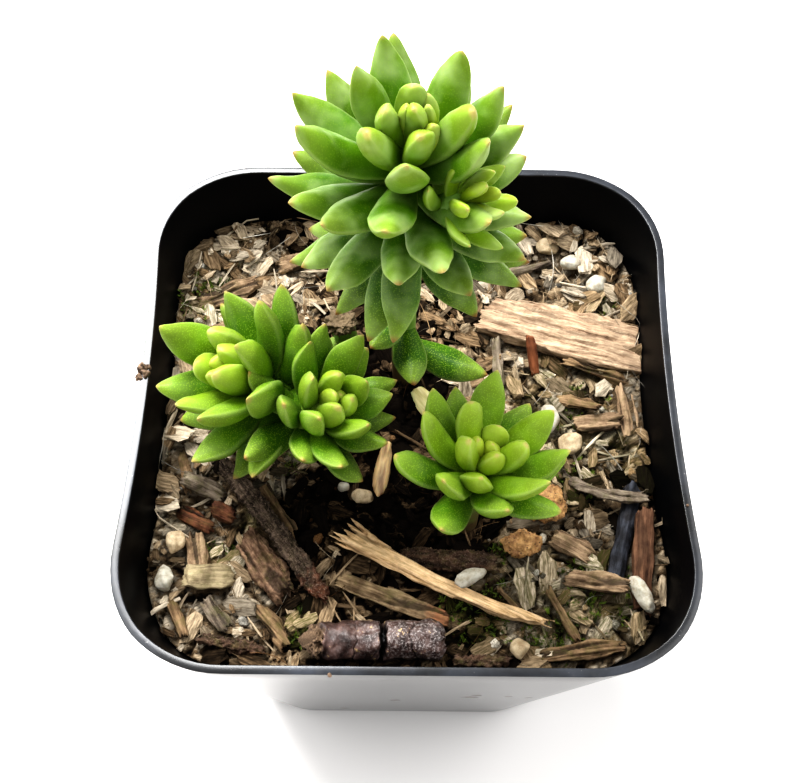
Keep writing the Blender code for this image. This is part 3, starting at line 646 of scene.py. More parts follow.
def strewing_tree():
    """The node tree that strews a collection's shapes over a mesh."""
    sizes = dict.fromkeys(("Per square metre", "Smallest", "Largest", "Tilt", "Lift"), "Float")
    inputs = {"Mix": "Geometry", "Shapes": "Collection", "Where": "String", **sizes}
    inputs |= {"Seed": "Int", "Material": "Material"}
    tree, given = new_tree("Geometry", "strewn", inputs, {"Made": "Geometry"})
    seed, tilt = given["Seed"], given["Tilt"]
    density = times(tree, given["Per square metre"], named(tree, given["Where"]))
    inputs = {"Mesh": given["Mix"], "Density": density, "Seed": seed}
    points = put(tree, "GeometryNodeDistributePointsOnFaces", inputs).outputs["Points"]
    back = times(tree, tilt, -1.0)
    inputs = {"Min": upright(tree, back, back, 0.0), "Max": upright(tree, tilt, tilt, 2 * math.pi), "Seed": seed}
    turn = put(tree, "FunctionNodeRandomValue", inputs, data_type="FLOAT_VECTOR").outputs["Value"]
    squared = reckon(tree, "POWER", lot(tree, {"Seed": seed}), 2.0)
    size = mapped(tree, squared, 0, 1, given["Smallest"], given["Largest"])
    inputs = {"Collection": given["Shapes"], "Separate Children": True, "Reset Children": True}
    shapes = put(tree, "GeometryNodeCollectionInfo", inputs).outputs[0]
    strewn = set_on(tree, points, shapes, turn, size, **{"Pick Instance": True})
    rise = upright(tree, 0.0, 0.0, lot(tree, {LARGEST_LOT: given["Lift"]}))
    inputs = {"Instances": strewn, "Translation": rise, "Local Space": False}
    lifted = put(tree, "GeometryNodeTranslateInstances", inputs).outputs[0]
    inputs = {"Geometry": lifted, "Name": "tone", "Value": lot(tree, {"Seed": TONE_SEED})}
    toned = put(tree, "GeometryNodeStoreNamedAttribute", inputs, data_type="FLOAT", domain="INSTANCE").outputs[0]
    return end_tree(tree, realized(tree, toned), given["Material"])


def grown(name, host, tree, values):
    """Runs a node tree on a host mesh with these inputs, and keeps the result as a plain piece."""
    carrier = bpy.data.objects.new(name + "_carrier", host.data)
    bpy.context.collection.objects.link(carrier)
    modifier = carrier.modifiers.new("Grow", "NODES")
    modifier.node_group = tree
    for item in tree.interface.items_tree:
        if item.in_out == "INPUT" and item.name in values:
            modifier[item.identifier] = values[item.name]
    bpy.context.view_layer.update()
    evaluated = carrier.evaluated_get(bpy.context.evaluated_depsgraph_get())
    mesh = bpy.data.meshes.new_from_object(evaluated)
    bpy.data.objects.remove(carrier, do_unlink=True)
    piece = bpy.data.objects.new(name, mesh)
    bpy.context.collection.objects.link(piece)
    return piece


def rough_shape(kind, seed):
    """One crumb: a granule, a flake, a sliver or a bit of grit, about 1 metre long before it is scaled."""
    draw = random.Random(seed)
    wide, thick = {
        "granule": (draw.uniform(0.6, 0.9), draw.uniform(0.5, 0.8)),
        "flake": (draw.uniform(0.35, 0.75), draw.uniform(0.1, 0.2)),
        "sliver": (draw.uniform(0.05, 0.11), draw.uniform(0.04, 0.07)),
        "hair": (0.016, 0.016),
        "grit": (draw.uniform(0.7, 0.95), draw.uniform(0.6, 0.8)),
    }[kind]
    shape = bmesh.new()
    if kind in ("granule", "grit"):
        bmesh.ops.create_icosphere(shape, subdivisions=2 if kind == "grit" else 1, radius=0.5)
        for vertex in shape.verts:
            worn = 1 + 0.35 * noise.noise(vertex.co * 2.5 + Vector((seed, 0, 0)))
            vertex.co = Vector((vertex.co.x, vertex.co.y * wide, vertex.co.z * thick)) * worn
    else:
        rings = []
        stops, sides, most_bow = (7, 3, 0.3) if kind == "hair" else (5, 6, 0.12)
        bow = draw.uniform(-most_bow, most_bow)
        for index in range(stops):
            run = index / (stops - 1) - 0.5
            at_end = index in (0, stops - 1)
            narrow = draw.uniform(0.3, 0.7) if at_end else draw.uniform(0.75, 1.1)
            ring = []
            for side in range(sides):
                turn = 2 * math.pi * (side + 0.5) / sides
                ragged = draw.uniform(-0.1, 0.1) if at_end and kind == "flake" else 0
                y = math.cos(turn) * wide / 2 * narrow * draw.uniform(0.8, 1.15) + bow * run * run * 2
                z = math.sin(turn) * thick / 2 * draw.uniform(0.6, 1.3) + abs(bow) * (0.5 - 2 * run * run)
                ring.append(shape.verts.new((run + ragged, y, z)))
            rings.append(ring)
        join_rings(shape, rings)
    face_outward(shape)
    made = loose_piece(f"{kind}_{seed}", shape)
    set_attribute(made.data, "grain", [vertex.co for vertex in made.data.vertices])
    return made


PLAY = 0.12 * MM
wall_angles = []
wall_radii = {}
for z in (MIX_LEVEL, POT_HEIGHT):
    ring = [pot_point(u, v, z, WALL) for u, v in square_edge(POT_STEPS * 4)]
    ring.sort(key=lambda point: math.atan2(point.y, point.x))
    wall_angles.append([math.atan2(point.y, point.x) for point in ring])
    wall_radii[z] = [math.hypot(point.x, point.y) for point in ring]


def kept_inside(piece):
    """Presses whatever would stand through the pot's wall back against its inner face."""
    count = len(piece.data.vertices)
    points = np.empty(count * 3, np.float32)
    piece.data.vertices.foreach_get("co", points)
    points = points.reshape(-1, 3)
    angles = np.arctan2(points[:, 1], points[:, 0])
    low, high = (
        np.interp(angles, line, wall_radii[z], period=2 * math.pi)
        for line, z in zip(wall_angles, (MIX_LEVEL, POT_HEIGHT))
    )
    reach = low + (high - low) * (points[:, 2] - MIX_LEVEL) / (POT_HEIGHT - MIX_LEVEL) - PLAY
    share = np.minimum(1, reach / np.maximum(np.hypot(points[:, 0], points[:, 1]), MM))
    points[:, :2] *= share[:, None]
    piece.data.vertices.foreach_set("co", points.ravel())
    piece.data.update()


strewn = strewing_tree()


def strew(name, shapes, where, per_square_metre, smallest, largest, tilt, lift, seed, material):
    """Strews loose shapes, with sizes and lift in mm, over the mix where that attribute of it says."""
    loose = bpy.data.collections.new(name)
    for shape in shapes:
        loose.objects.link(shape)
    crumbs = grown(name, potting_mix, strewn, {
        "Shapes": loose,
        "Where": where,
        "Per square metre": per_square_metre,
        "Smallest": smallest * MM,
        "Largest": largest * MM,
        "Tilt": tilt,
        "Lift": lift * MM,
        "Seed": seed,
        "Material": material,
    })
    for shape in shapes:
        bpy.data.objects.remove(shape, do_unlink=True)
    bpy.data.collections.remove(loose)
    return crumbs


FIRST_SEED = 11
for name, kind, count, per_square_metre, smallest, largest, tilt, lift, material, slot in (
    ("peat_granules", "granule", 6, 0.9e6, 0.2, 0.8, 3.1, 0.3, bark_crumbs, "potting_soil"),
    ("bark_flakes", "flake", 9, 0.4e6, 1.0, 4.8, 0.5, 0.7, bark_crumbs, "potting_soil"),
    ("bark_slivers", "sliver", 5, 0.15e6, 2.0, 7.0, 0.3, 0.9, bark_crumbs, "tan_wood"),
    ("root_hairs", "hair", 6, 0.07e6, 2.5, 8.0, 0.35, 1.2, grit_crumbs, "tan_wood"),
    ("fine_grit", "grit", 4, 0.05e6, 0.5, 1.9, 3.1, 0.4, grit_crumbs, "cream_grit"),
):
    shapes = [rough_shape(kind, FIRST_SEED + number) for number in range(count)]
    crumbs = strew(name, shapes, "open", per_square_metre, smallest, largest, tilt, lift, count, material)
    kept_inside(crumbs)
    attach(crumbs, "root")


# The wood and bark. Split and broken chips of pine bark and twigs from the mix: long fibres show on
# every side and fray at the ends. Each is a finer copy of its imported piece, and lies where that lies.
def fine_copy(name, cell):
    """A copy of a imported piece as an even, dense skin."""
    shape = bmesh.new()
    shape.from_mesh(solids[name].data)
    bmesh.ops.remove_doubles(shape, verts=shape.verts, dist=0.005 * MM)
    piece = mesh_piece(name + "_fine", shape)
    even_skin(piece, cell)
    return piece


def even_skin(piece, cell):
    """Fuses what a piece is made of into one skin of small, even faces."""
    remesh = piece.modifiers.new("Even", "REMESH")
    remesh.mode = "VOXEL"
    remesh.voxel_size = cell
    baked(piece)
    piece.data.shade_smooth()


def long_axes(points):
    """Directions along, across and out of a piece, from the spread of its points."""
    spread = np.linalg.eigh(np.cov((points - points.mean(0)).T))[1]
    along = spread[:, 2] * np.sign(spread[0, 2])
    upward = spread[:, 0] * np.sign(spread[2, 0])
    return np.stack((along, np.cross(upward, along), upward))


def coordinates(mesh):
    """A mesh's points and its normals as two arrays."""
    points = np.empty(len(mesh.vertices) * 3, np.float32)
    mesh.vertices.foreach_get("co", points)
    normals = np.empty(len(mesh.vertices) * 3, np.float32)
    mesh.vertex_normals.foreach_get("vector", normals)
    return points.reshape(-1, 3).astype(float), normals.reshape(-1, 3)


def ramped(value, low, high):
    """Goes from 0 at low to 1 at high."""
    return min(max((value - low) / max(high - low, 1e-9), 0.0), 1.0)


# The marks on wood. Lengths, widths and depths are those of their noises, in mm; the rest are shares.
RIDGE_LENGTH = 16
RIDGE_TOP = 0.6
SWELL_LENGTH, SWELL_WIDTH = 3.5, 1.7
SPLIT_LENGTH, SPLIT_DEPTH = 7, 1.1
SPLIT_FIBRES = 2.2
SPLIT_DROP = 1.3
BARK_SCALE = 1.9
WORN_FROM, WORN_LENGTH = 0.75, 2.3
FRAY_REACH = 1.7
FRAY_WIDTH, FRAY_DEPTH, SLANT_WIDTH = 0.34, 0.3, 1.6


def carve(piece, seed, fibre, depth, lump, fray, bark=0.0):
    """Wears a piece's edges, raises fibres, splits and lumps on it and frays its ends.

    Sizes are in mm. Each noise is stretched along the piece, as its fibres are.
    """
    mesh = piece.data
    points, normals = coordinates(mesh)
    axes = long_axes(points)
    middle = (points.max(0) + points.min(0)) / 2
    local = (points - middle) @ axes.T / MM
    half = np.abs(local).max(0)
    rise = np.empty(len(points))
    pull = np.empty((len(points), 3))
    gap = np.empty(len(points))
    for index, (along, across, upward) in enumerate(local):
        ridge = noise.fractal(Vector((along / RIDGE_LENGTH, across / fibre, upward / fibre + seed * 9)), 1, 2, 3)
        place = Vector((along / SWELL_LENGTH, across / SWELL_WIDTH, upward / SWELL_WIDTH + seed * 5))
        swell = noise.fractal(place, 1, 2, 2)
        place = Vector((along / SPLIT_LENGTH + seed, across / (fibre * SPLIT_FIBRES), upward / SPLIT_DEPTH))
        missing = ramped(noise.noise(place), 0.18, 0.26)
        grainy = noise.fractal(Vector((along, across, upward)) * BARK_SCALE + Vector((seed, 0, 0)), 0.8, 2, 3)
        rise[index] = depth * (min(ridge, RIDGE_TOP) - SPLIT_DROP * missing) + lump * swell + bark * grainy
        # How deep the split is, which the colour paints dark as shade.
        gap[index] = min(0.75, 4 * depth) * missing
        out = math.hypot(across / half[1], upward / half[2])
        worn = max(0, out - WORN_FROM) * (0.3 + 0.5 * noise.noise(Vector((along / WORN_LENGTH, seed, across))))
        end = ramped(abs(along), half[0] - FRAY_REACH * fray, half[0])
        place = Vector((seed * 3 + math.copysign(9, along), across / FRAY_WIDTH, upward / FRAY_DEPTH))
        strand = noise.noise(place)
        slant = noise.noise(Vector((seed * 4 + math.copysign(7, along), across / SLANT_WIDTH, 0)))
        pull[index] = (
            math.copysign(end * fray * (1.5 * strand + 0.9 * slant - 0.25), along),
            -across * worn,
            -upward * worn,
        )
    moved = points + normals * (rise * MM)[:, None] + (pull * MM) @ axes
    mesh.vertices.foreach_set("co", moved.astype(np.float32).ravel())
    set_attribute(mesh, "grain", local + seed * 7)
    set_attribute(mesh, "gap", gap)
    set_attribute(mesh, "reach", local[:, 0] / half[0])
    mesh.update()


def wood_grain_group():
    """Shared by all wood: colour and height of long fibres, with grooves and splits painted near black as shade, and a
    green film.
    """
    inputs = dict.fromkeys(("Pale wood", "Dark wood", "Film colour", "End colour"), "Color")
    for name in ("Fibre scale", "Crack share", "Film share", "Blotch share", "End share", "Speck share"):
        inputs[name] = "Float"
    tree, given = new_tree("Shader", "wood_grain", inputs, {"Colour": "Color", "Height": "Float"})
    grain = attribute(tree, "grain", "Vector")
    fibres = noisy(tree, scaled(tree, grain, 0.11, 1, 1), given["Fibre scale"], 7, 0.72)
    colour = mixed(tree, mapped(tree, fibres, 0.36, 0.64), given["Dark wood"], given["Pale wood"])
    blotches = noisy(tree, grain, 0.6, 5, 0.65)
    blotch = times(tree, mapped(tree, blotches, 0.56, 0.4), given["Blotch share"])
    colour = mixed(tree, blotch, colour, (0.3, 0.26, 0.24), "MULTIPLY")
    wavering = reckon(tree, "ADD", blotches, attribute(tree, "reach"))
    end = times(tree, mapped(tree, wavering, 1.05, 1.35), given["End share"])
    colour = mixed(tree, end, colour, given["End colour"])
    # Painted shade: the grooves between fibres and the splits are painted near black.
    crack = times(tree, mapped(tree, fibres, 0.41, 0.34), given["Crack share"])
    deep = reckon(tree, "MAXIMUM", crack, attribute(tree, "gap"))
    colour = mixed(tree, deep, colour, (0.018, 0.012, 0.009))
    patch = mapped(tree, noisy(tree, grain, 0.8, 5, 0.75), 0.48, 0.66)
    colour = mixed(tree, times(tree, patch, given["Film share"]), colour, given["Film colour"])
    grains = noisy(tree, grain, 4.6, 3, 0.8)
    speck = times(tree, mapped(tree, grains, 0.54, 0.64), given["Speck share"])
    colour = mixed(tree, speck, colour, (0.36, 0.27, 0.2))
    relief = reckon(tree, "ADD", fibres, times(tree, grains, given["Speck share"]))
    put(tree, "NodeGroupOutput", {"Colour": colour, "Height": relief})
    return tree


wood_grain = wood_grain_group()


def wood_material(name, pale, dark, roughness=0.85, scale=1.6, crack=0.7, film=0.0, blotch=0.6, speck=0.0, end=None):
    made, tree, shader = finish(name, roughness, Specular_IOR_Level=0.2)
    colours = {"Pale wood": pale, "Dark wood": dark, "Film colour": (0.12, 0.125, 0.035), "End colour": end or pale}
    inputs = {socket: (*colour, 1) for socket, colour in colours.items()}
    inputs |= {"Fibre scale": scale, "Crack share": crack, "Film share": film}
    inputs |= {"Blotch share": blotch, "End share": 1 if end else 0, "Speck share": speck}
    grain = put(tree, "ShaderNodeGroup", inputs, node_tree=wood_grain).outputs
    dress(tree, shader, grain["Colour"], grain["Height"], 0.8, 0.00035)
    return made


# Each kind of wood: its material; its voxel size, fibre width, fibre depth, lump, fray and bark grain in mm;
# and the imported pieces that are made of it.
WOODS = {
    "slab": (
        wood_material("slab_wood", (0.62, 0.48, 0.335), (0.27, 0.17, 0.105), scale=2.2, blotch=0.4, crack=0.6),
        (0.145, 0.29, 0.09, 0.3, 1.0, 0),
        "wood_slab",
    ),
    "pale": (
        wood_material("pale_chips", (0.47, 0.345, 0.225), (0.17, 0.11, 0.065), film=0.2),
        (0.14, 0.38, 0.22, 0.3, 0.8, 0),
        "pale_chip_right flat_chip_right tan_strip_right back_chip_left back_chip_middle "
        "back_slab tan_chip_corner shell_chip",
    ),
    "tan": (
        wood_material("tan_chips", (0.37, 0.255, 0.15), (0.12, 0.075, 0.04), film=0.4),
        (0.14, 0.36, 0.24, 0.4, 0.8, 0),
        "corner_splinter tan_strip_left thin_chip_front front_strip_right short_stick_right "
        "middle_chip_right slab_sliver olive_chip_front second_twig",
    ),
    "husk": (
        wood_material("smooth_husk", (0.48, 0.395, 0.25), (0.25, 0.2, 0.12), 0.7, crack=0.3, film=0.3),
        (0.15, 0.9, 0.04, 0.25, 0.5, 0),
        "seed_husk",
    ),
    "grey": (
        wood_material("grey_chips", (0.33, 0.275, 0.21), (0.1, 0.075, 0.055), film=0.35, speck=0.2),
        (0.14, 0.4, 0.2, 0.35, 0.7, 0.05),
        "grey_chip_left grey_plate_left curved_strip back_stick back_twig",
    ),
    "olive": (
        wood_material("olive_strip", (0.42, 0.315, 0.195), (0.15, 0.1, 0.055), film=0.35, end=(0.3, 0.15, 0.08)),
        (0.15, 0.42, 0.24, 0.3, 0.7, 0),
        "olive_strip",
    ),
    "brown": (
        wood_material("brown_bark", (0.15, 0.09, 0.06), (0.03, 0.018, 0.013), film=0.3, crack=0.5, speck=0.35),
        (0.14, 0.6, 0.12, 0.4, 0.6, 0.4),
        "dark_bark front_strip_left rusty_chip_front",
    ),
    "strip": (
        wood_material("red_brown_strip", (0.27, 0.15, 0.09), (0.085, 0.042, 0.026), crack=0.5, blotch=0.4),
        (0.14, 0.45, 0.1, 0.25, 0.6, 0),
        "wall_strip",
    ),
    "reddish": (
        wood_material("reddish_bark", (0.22, 0.095, 0.05), (0.05, 0.022, 0.015), film=0.2, blotch=0.8),
        (0.14, 0.5, 0.22, 0.5, 0.7, 0.08),
        "bark_shard_left red_chip_left",
    ),
    "peg": (
        wood_material("red_peg", (0.3, 0.12, 0.055), (0.14, 0.05, 0.022), 0.7, blotch=0.4),
        (0.12, 0.4, 0.08, 0.1, 0.3, 0),
        "red_peg",
    ),
    "chunk": (
        wood_material("bark_chunk", (0.42, 0.28, 0.185), (0.12, 0.068, 0.043), blotch=0.8, film=0.3, speck=0.15),
        (0.15, 0.8, 0.22, 0.8, 0.8, 0.2),
        "bark_chunk",
    ),
    "twig": (
        wood_material("dark_twig", (0.21, 0.155, 0.115), (0.02, 0.0135, 0.01), 0.9, scale=2.4, film=0.15, speck=0.6,
                      end=(0.2, 0.085, 0.05)),
        (0.14, 0.7, 0.12, 0.25, 0.8, 0.4),
        "long_twig",
    ),
    "slate": (
        wood_material("slate_stick", (0.075, 0.08, 0.098), (0.014, 0.0155, 0.02), 0.5, crack=0.3, blotch=0.8),
        (0.16, 0.6, 0.08, 0.15, 0.3, 0),
        "slate_stick",
    ),
}
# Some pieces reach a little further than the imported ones: the shares added to their length, to their
# right end's width, and to their width all along.
SPREAD = {"wood_slab": (0.13, 0.35, 0.0), "seed_husk": (0.05, 0.0, 0.35), "long_twig": (0.0, 0.0, 0.12)}


def spread_out(piece, longer, wider_right, wider):
    """Stretches a piece from its left end, and widens it on both sides of its long axis."""
    points = coordinates(piece.data)[0]
    along, across, _ = long_axes(points)
    middle = points.mean(0)
    run = (points - middle) @ along
    side = (points - middle) @ across
    share = (run - run.min()) / (run.max() - run.min())
    points += np.outer((run - run.min()) * longer, along)
    points += np.outer(side * (wider + wider_right * share), across)
    piece.data.vertices.foreach_set("co", points.astype(np.float32).ravel())
    piece.data.update()


def cover(piece, material):
    """Gives the piece one material all over."""
    piece.data.materials.clear()
    piece.data.materials.append(material)


for kind, (material, (cell, *cuts), names) in WOODS.items():
    for number, name in enumerate(names.split()):
        chip = fine_copy(name, cell * MM)
        if name in SPREAD:
            spread_out(chip, *SPREAD[name])
        carve(chip, number + len(kind), *cuts)
        kept_inside(chip)
        cover(chip, material)
        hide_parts(name)
        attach(chip, "root")


# The bark roll. A short length of glossy young bark that rolled up as it dried: one deep crack and
# some fine ones run round it, and its left end has frayed to tan cork.
ROLL_START = Vector((-11.6, -29.4, 62.5))
ROLL_END = Vector((4.6, -29.0, 62.5))
ROLL_RADII = (2.3, 2.15)
ROLL_RINGS = 190
ROLL_SIDES = 72
# Share of the roll's length, width, depth and slant of each crack, in mm but for the share.
CRACKS = ((0.53, 0.34, 1.5, 0.5), (0.34, 0.06, 0.25, 0.25), (0.79, 0.07, 0.35, -0.6), (0.43, 0.05, 0.2, 1.6))
CRACK_CUT = 0.42
CRACK_WAVER = 0.5
CORK_END = 0.07
CORK_BLEND = 0.03
CORK_RADIUS = 0.7
CORK_SLANT = 0.9
CORK_LIFT = 0.9
# Scale and height of the noises that roughen the bark and the cork.
BARK_GRAINS = (2.2, 0.025)
BARK_LUMPS = (0.5, 0.15)
CORK_LUMPS = (1.5, 0.5)
NOISE_RADIUS = 2.2
RAGGED_ENDS = 0.5
RAGGED_FROM = 0.42
ROUNDED_FROM = 0.955


def rough(place, scale, height, octaves=3):
    return noise.fractal(place * scale, 1, 2, octaves) * height


shape = bmesh.new()
roll_length = (ROLL_END - ROLL_START).length
along = (ROLL_END - ROLL_START).normalized()
across = along.cross(Vector((0, 0, 1))).normalized()
upward = across.cross(along)
rings = []
facts = {"gap": [], "cork": [], "grain": []}
for step in range(ROLL_RINGS + 1):
    share = step / ROLL_RINGS
    ring = []
    for side in range(ROLL_SIDES):
        turn = 2 * math.pi * side / ROLL_SIDES
        round_place = Vector((math.cos(turn), math.sin(turn), 0)) * NOISE_RADIUS
        place = round_place + Vector((0, 0, share * roll_length))
        ragged = noise.noise(round_place * 1.6 + Vector((0, 0, 9 * (share > 0.5)))) * RAGGED_ENDS
        end = ramped(abs(share - 0.5), RAGGED_FROM, 0.5)
        reach = share * roll_length + ragged * end + CORK_SLANT * math.sin(turn) * (1 - ramped(share, 0, 0.25))
        crack = 0.0
        for crack_share, width, depth, slant in CRACKS:
            waver = noise.noise(round_place * 0.9 + Vector((0, 0, crack_share * 50))) * CRACK_WAVER
            away = abs(reach - crack_share * roll_length - slant * math.sin(turn) - waver)
            crack = max(crack, depth * (1 - ramped(away, width * 0.5, width * 1.4)))
        cork = 1 - ramped(share + noise.noise(place * 1.3) * 0.04, CORK_END, CORK_END + CORK_BLEND)
        bark_radius = 1 + (rough(place, *BARK_GRAINS) + rough(place, *BARK_LUMPS, octaves=2))
        cork_radius = CORK_RADIUS + rough(place, *CORK_LUMPS)
        radius = between(bark_radius, cork_radius, cork) - crack * CRACK_CUT
        radius *= 1 - 0.5 * ramped(share, ROUNDED_FROM, 1.0) ** 2
        radius *= between(0.6, 1, ramped(share, 0, CORK_END) ** 0.5)
        flat = (across * math.cos(turn) * ROLL_RADII[0] + upward * math.sin(turn) * ROLL_RADII[1]) * radius
        flat += upward * CORK_LIFT * (1 - ramped(share, 0, 0.12))
        ring.append(shape.verts.new((ROLL_START + along * reach + flat) * MM))
        facts["gap"].append(min(1, crack * 1.6))
        facts["cork"].append(cork)
        facts["grain"].append(place)
    rings.append(ring)
join_rings(shape, rings)
face_outward(shape)

# Roll bark: purple-brown and shiny, with cream flecks and tan cork at one end. A silver-grey painted highlight
# lies on its upper right, and its cracks are painted near black as shade.
roll_bark, tree, shader = finish("roll_bark", 0.42, Specular_IOR_Level=0.6)
grain = attribute(tree, "grain", "Vector")
grains = noisy(tree, grain, 3.6, 5, 0.75)
colour = colour_ramp(
    tree, noisy(tree, grain, 0.55, 4, 0.6),
    (0.36, (0.022, 0.012, 0.01)), (0.5, (0.07, 0.04, 0.034)), (0.66, (0.16, 0.1, 0.085)),
)
parts = put(tree, "ShaderNodeSeparateXYZ", {"Vector": grain}).outputs
# Painted highlight: silver-grey grains on the upper right half of the roll, where the light falls on it.
lit_side = mapped(tree, reckon(tree, "ADD", parts["Y"], parts["Z"]), 6, 12, 0.1, 0.8)
painted_highlight = times(tree, mapped(tree, grains, 0.5, 0.62), lit_side)
colour = mixed(tree, painted_highlight, colour, (0.44, 0.39, 0.37))
fleck = mapped(tree, noisy(tree, grain, 1.1, 3, 0.8), 0.66, 0.7)
colour = mixed(tree, fleck, colour, (0.5, 0.36, 0.19))
cork = attribute(tree, "cork")
cork_colour = colour_ramp(tree, grains, (0.38, (0.05, 0.028, 0.018)), (0.64, (0.3, 0.205, 0.125)))
colour = mixed(tree, cork, colour, cork_colour)
# Painted shade: the cracks are painted near black.
colour = mixed(tree, attribute(tree, "gap"), colour, (0.006, 0.004, 0.004))
dress(tree, shader, colour, grains, 0.6, 0.00015)
tree.links.new(mapped(tree, cork, 0, 1, 0.34, 0.9), shader.inputs["Roughness"])

bark_roll = mesh_piece("cracked_bark_roll", shape, roll_bark)
for name, values in facts.items():
    set_attribute(bark_roll.data, name, values)
kept_inside(bark_roll)
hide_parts("bark_roll")
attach(bark_roll, "root")


# The golden splinter. A fresh sliver of pale wood, torn off along its fibres: it is a bundle of strands
# that end one after another, and at its left end they part into long prongs.
SPLINTER = ((-8.9, -15.2), (-3.5, -18.4), (4.0, -22.4), (11.0, -25.4), (18.2, -27.3))
SPLINTER_BOTTOM = 61.6
STRANDS = 34
STRAND_STEPS = 30
STRAND_SIDES = 7
STRAND_STARTS = (-0.02, 0.2)
STRAND_ENDS = 0.16
STRAND_THICK = (0.26, 0.4)
# Half the width and the height of the bundle, from its left to its right end.
BODY_HALF = (1.25, 0.5)
BODY_HEIGHT = (1.5, 0.8)
PRONG_SPREAD = 1.8
PRONG_LIFT = 0.7
# Shares of the length at which the prongs meet, and at which they lie flat.
PRONGS_MEET = 0.3
PRONGS_LIE = 0.2
SPLINTER_CELL = 0.125 * MM


def along_line(points, share):
    """The place at this share of a line through the points."""
    stops = np.linspace(0, 1, len(points))
    return Vector([np.interp(share, stops, [point[axis] for point in points]) for axis in range(len(points[0]))])


draw = random.Random(14)
shape = bmesh.new()
for number in range(STRANDS):
    sideways = draw.uniform(-1, 1)
    layer = draw.uniform(0, 1)
    prong = round(sideways * 2) / 2
    start = max(0, draw.uniform(*STRAND_STARTS) + 0.1 * abs(sideways - prong))
    stop = 1 - abs(draw.gauss(0, STRAND_ENDS)) * (0.4 + abs(sideways))
    thick = draw.uniform(*STRAND_THICK)
    wander = draw.uniform(0, 50)
    rings = []
    for step in range(STRAND_STEPS + 1):
        share = between(start, stop, step / STRAND_STEPS)
        place = along_line(SPLINTER, share)
        heading = (along_line(SPLINTER, min(share + 0.05, 1)) - along_line(SPLINTER, max(share - 0.05, 0))).normalized()
        side_way = Vector((-heading.y, heading.x))
        body = between(*BODY_HALF, share)
        parting = PRONG_SPREAD * max(0, PRONGS_MEET - share) / PRONGS_MEET
        off = sideways * body * 0.9 + prong * parting * 0.8 + 0.12 * noise.noise(Vector((share * 9, wander, 0)))
        rise = layer * between(*BODY_HEIGHT, share)
        rise += PRONG_LIFT * max(0, PRONGS_LIE - share) / PRONGS_LIE * (0.4 + layer)
        rise += 0.1 * noise.noise(Vector((share * 7, wander, 5))) + (1 - sideways ** 2) * 0.4
        centre = Vector((place.x + side_way.x * off, place.y + side_way.y * off, SPLINTER_BOTTOM + rise))
        taper = min(1, (share - start) / 0.09 + 0.12, (stop - share) / 0.12 + 0.1)
        ring = []
        for side in range(STRAND_SIDES):
            turn = 2 * math.pi * side / STRAND_SIDES
            flat = Vector((side_way.x, side_way.y, 0)) * math.cos(turn) + Vector((0, 0, 0.85)) * math.sin(turn)
            ring.append(shape.verts.new((centre + flat * thick * taper) * MM))
        rings.append(ring)
    join_rings(shape, rings)
face_outward(shape)
splinter = mesh_piece("torn_splinter", shape)
even_skin(splinter, SPLINTER_CELL)
carve(splinter, 4, 0.3, 0.09, 0.05, 0.0)
golden = wood_material("golden_wood", (0.98, 0.73, 0.45), (0.55, 0.35, 0.17), 0.75, scale=2.6, crack=0.4, blotch=0.3)
cover(splinter, golden)
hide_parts("golden_splinter")
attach(splinter, "root")


# The grit. White and cream quartz worn round, and two porous orange lumps of baked clay.
# It is mixed in for drainage, and its largest stones lie loose between the chips.
def stone_material(name, pale, dark, pits, bump_mm):
    made, tree, shader = finish(name, 0.65, Subsurface_Weight=0.05)
    place = own_place(tree)
    grains = noisy(tree, place, 900, 6, 0.7)
    pores = put(tree, "ShaderNodeTexVoronoi", {"Vector": place, "Scale": 1800.0}).outputs["Distance"]
    # Painted shade: the pores are painted dark.
    pore = times(tree, mapped(tree, pores, 0.25, 0.1), pits)
    colour = mixed(tree, mapped(tree, grains, 0.35, 0.6), dark, pale)
    dress(tree, shader, mixed(tree, pore, colour, (0.06, 0.035, 0.02)), grains, 0.5, bump_mm * MM)
    return made


stones = {
    "white_grit": stone_material("white_quartz", (0.52, 0.48, 0.4), (0.3, 0.25, 0.18), 0.1, 0.15),
    "cream_grit": stone_material("cream_quartz", (0.56, 0.44, 0.29), (0.3, 0.21, 0.12), 0.15, 0.2),
    "orange_grit": stone_material("porous_clay", (0.56, 0.33, 0.14), (0.2, 0.095, 0.035), 0.9, 0.8),
}
STONE_CELL = 0.14 * MM
STONE_SCALE = 900
for seed, (name, kind) in enumerate(slots.items()):
    if kind not in stones:
        continue
    stone = fine_copy(name, STONE_CELL)
    worn = stone.modifiers.new("Worn", "SMOOTH")
    worn.iterations = 14
    baked(stone)
    for vertex, normal in zip(stone.data.vertices, [n.vector.copy() for n in stone.data.vertex_normals]):
        place = vertex.co * STONE_SCALE + Vector((seed, 0, 0))
        dent = noise.fractal(place, 1, 2, 3) * 0.08
        if kind == "orange_grit":
            dent = noise.fractal(place * 0.7, 0.6, 2.2, 4) * 0.5 - 0.25 * max(0, 0.5 - noise.voronoi(place * 1.1)[0][0])
        vertex.co += normal * dent * MM
    cover(stone, stones[kind])
    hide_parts(name)
    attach(stone, "root")


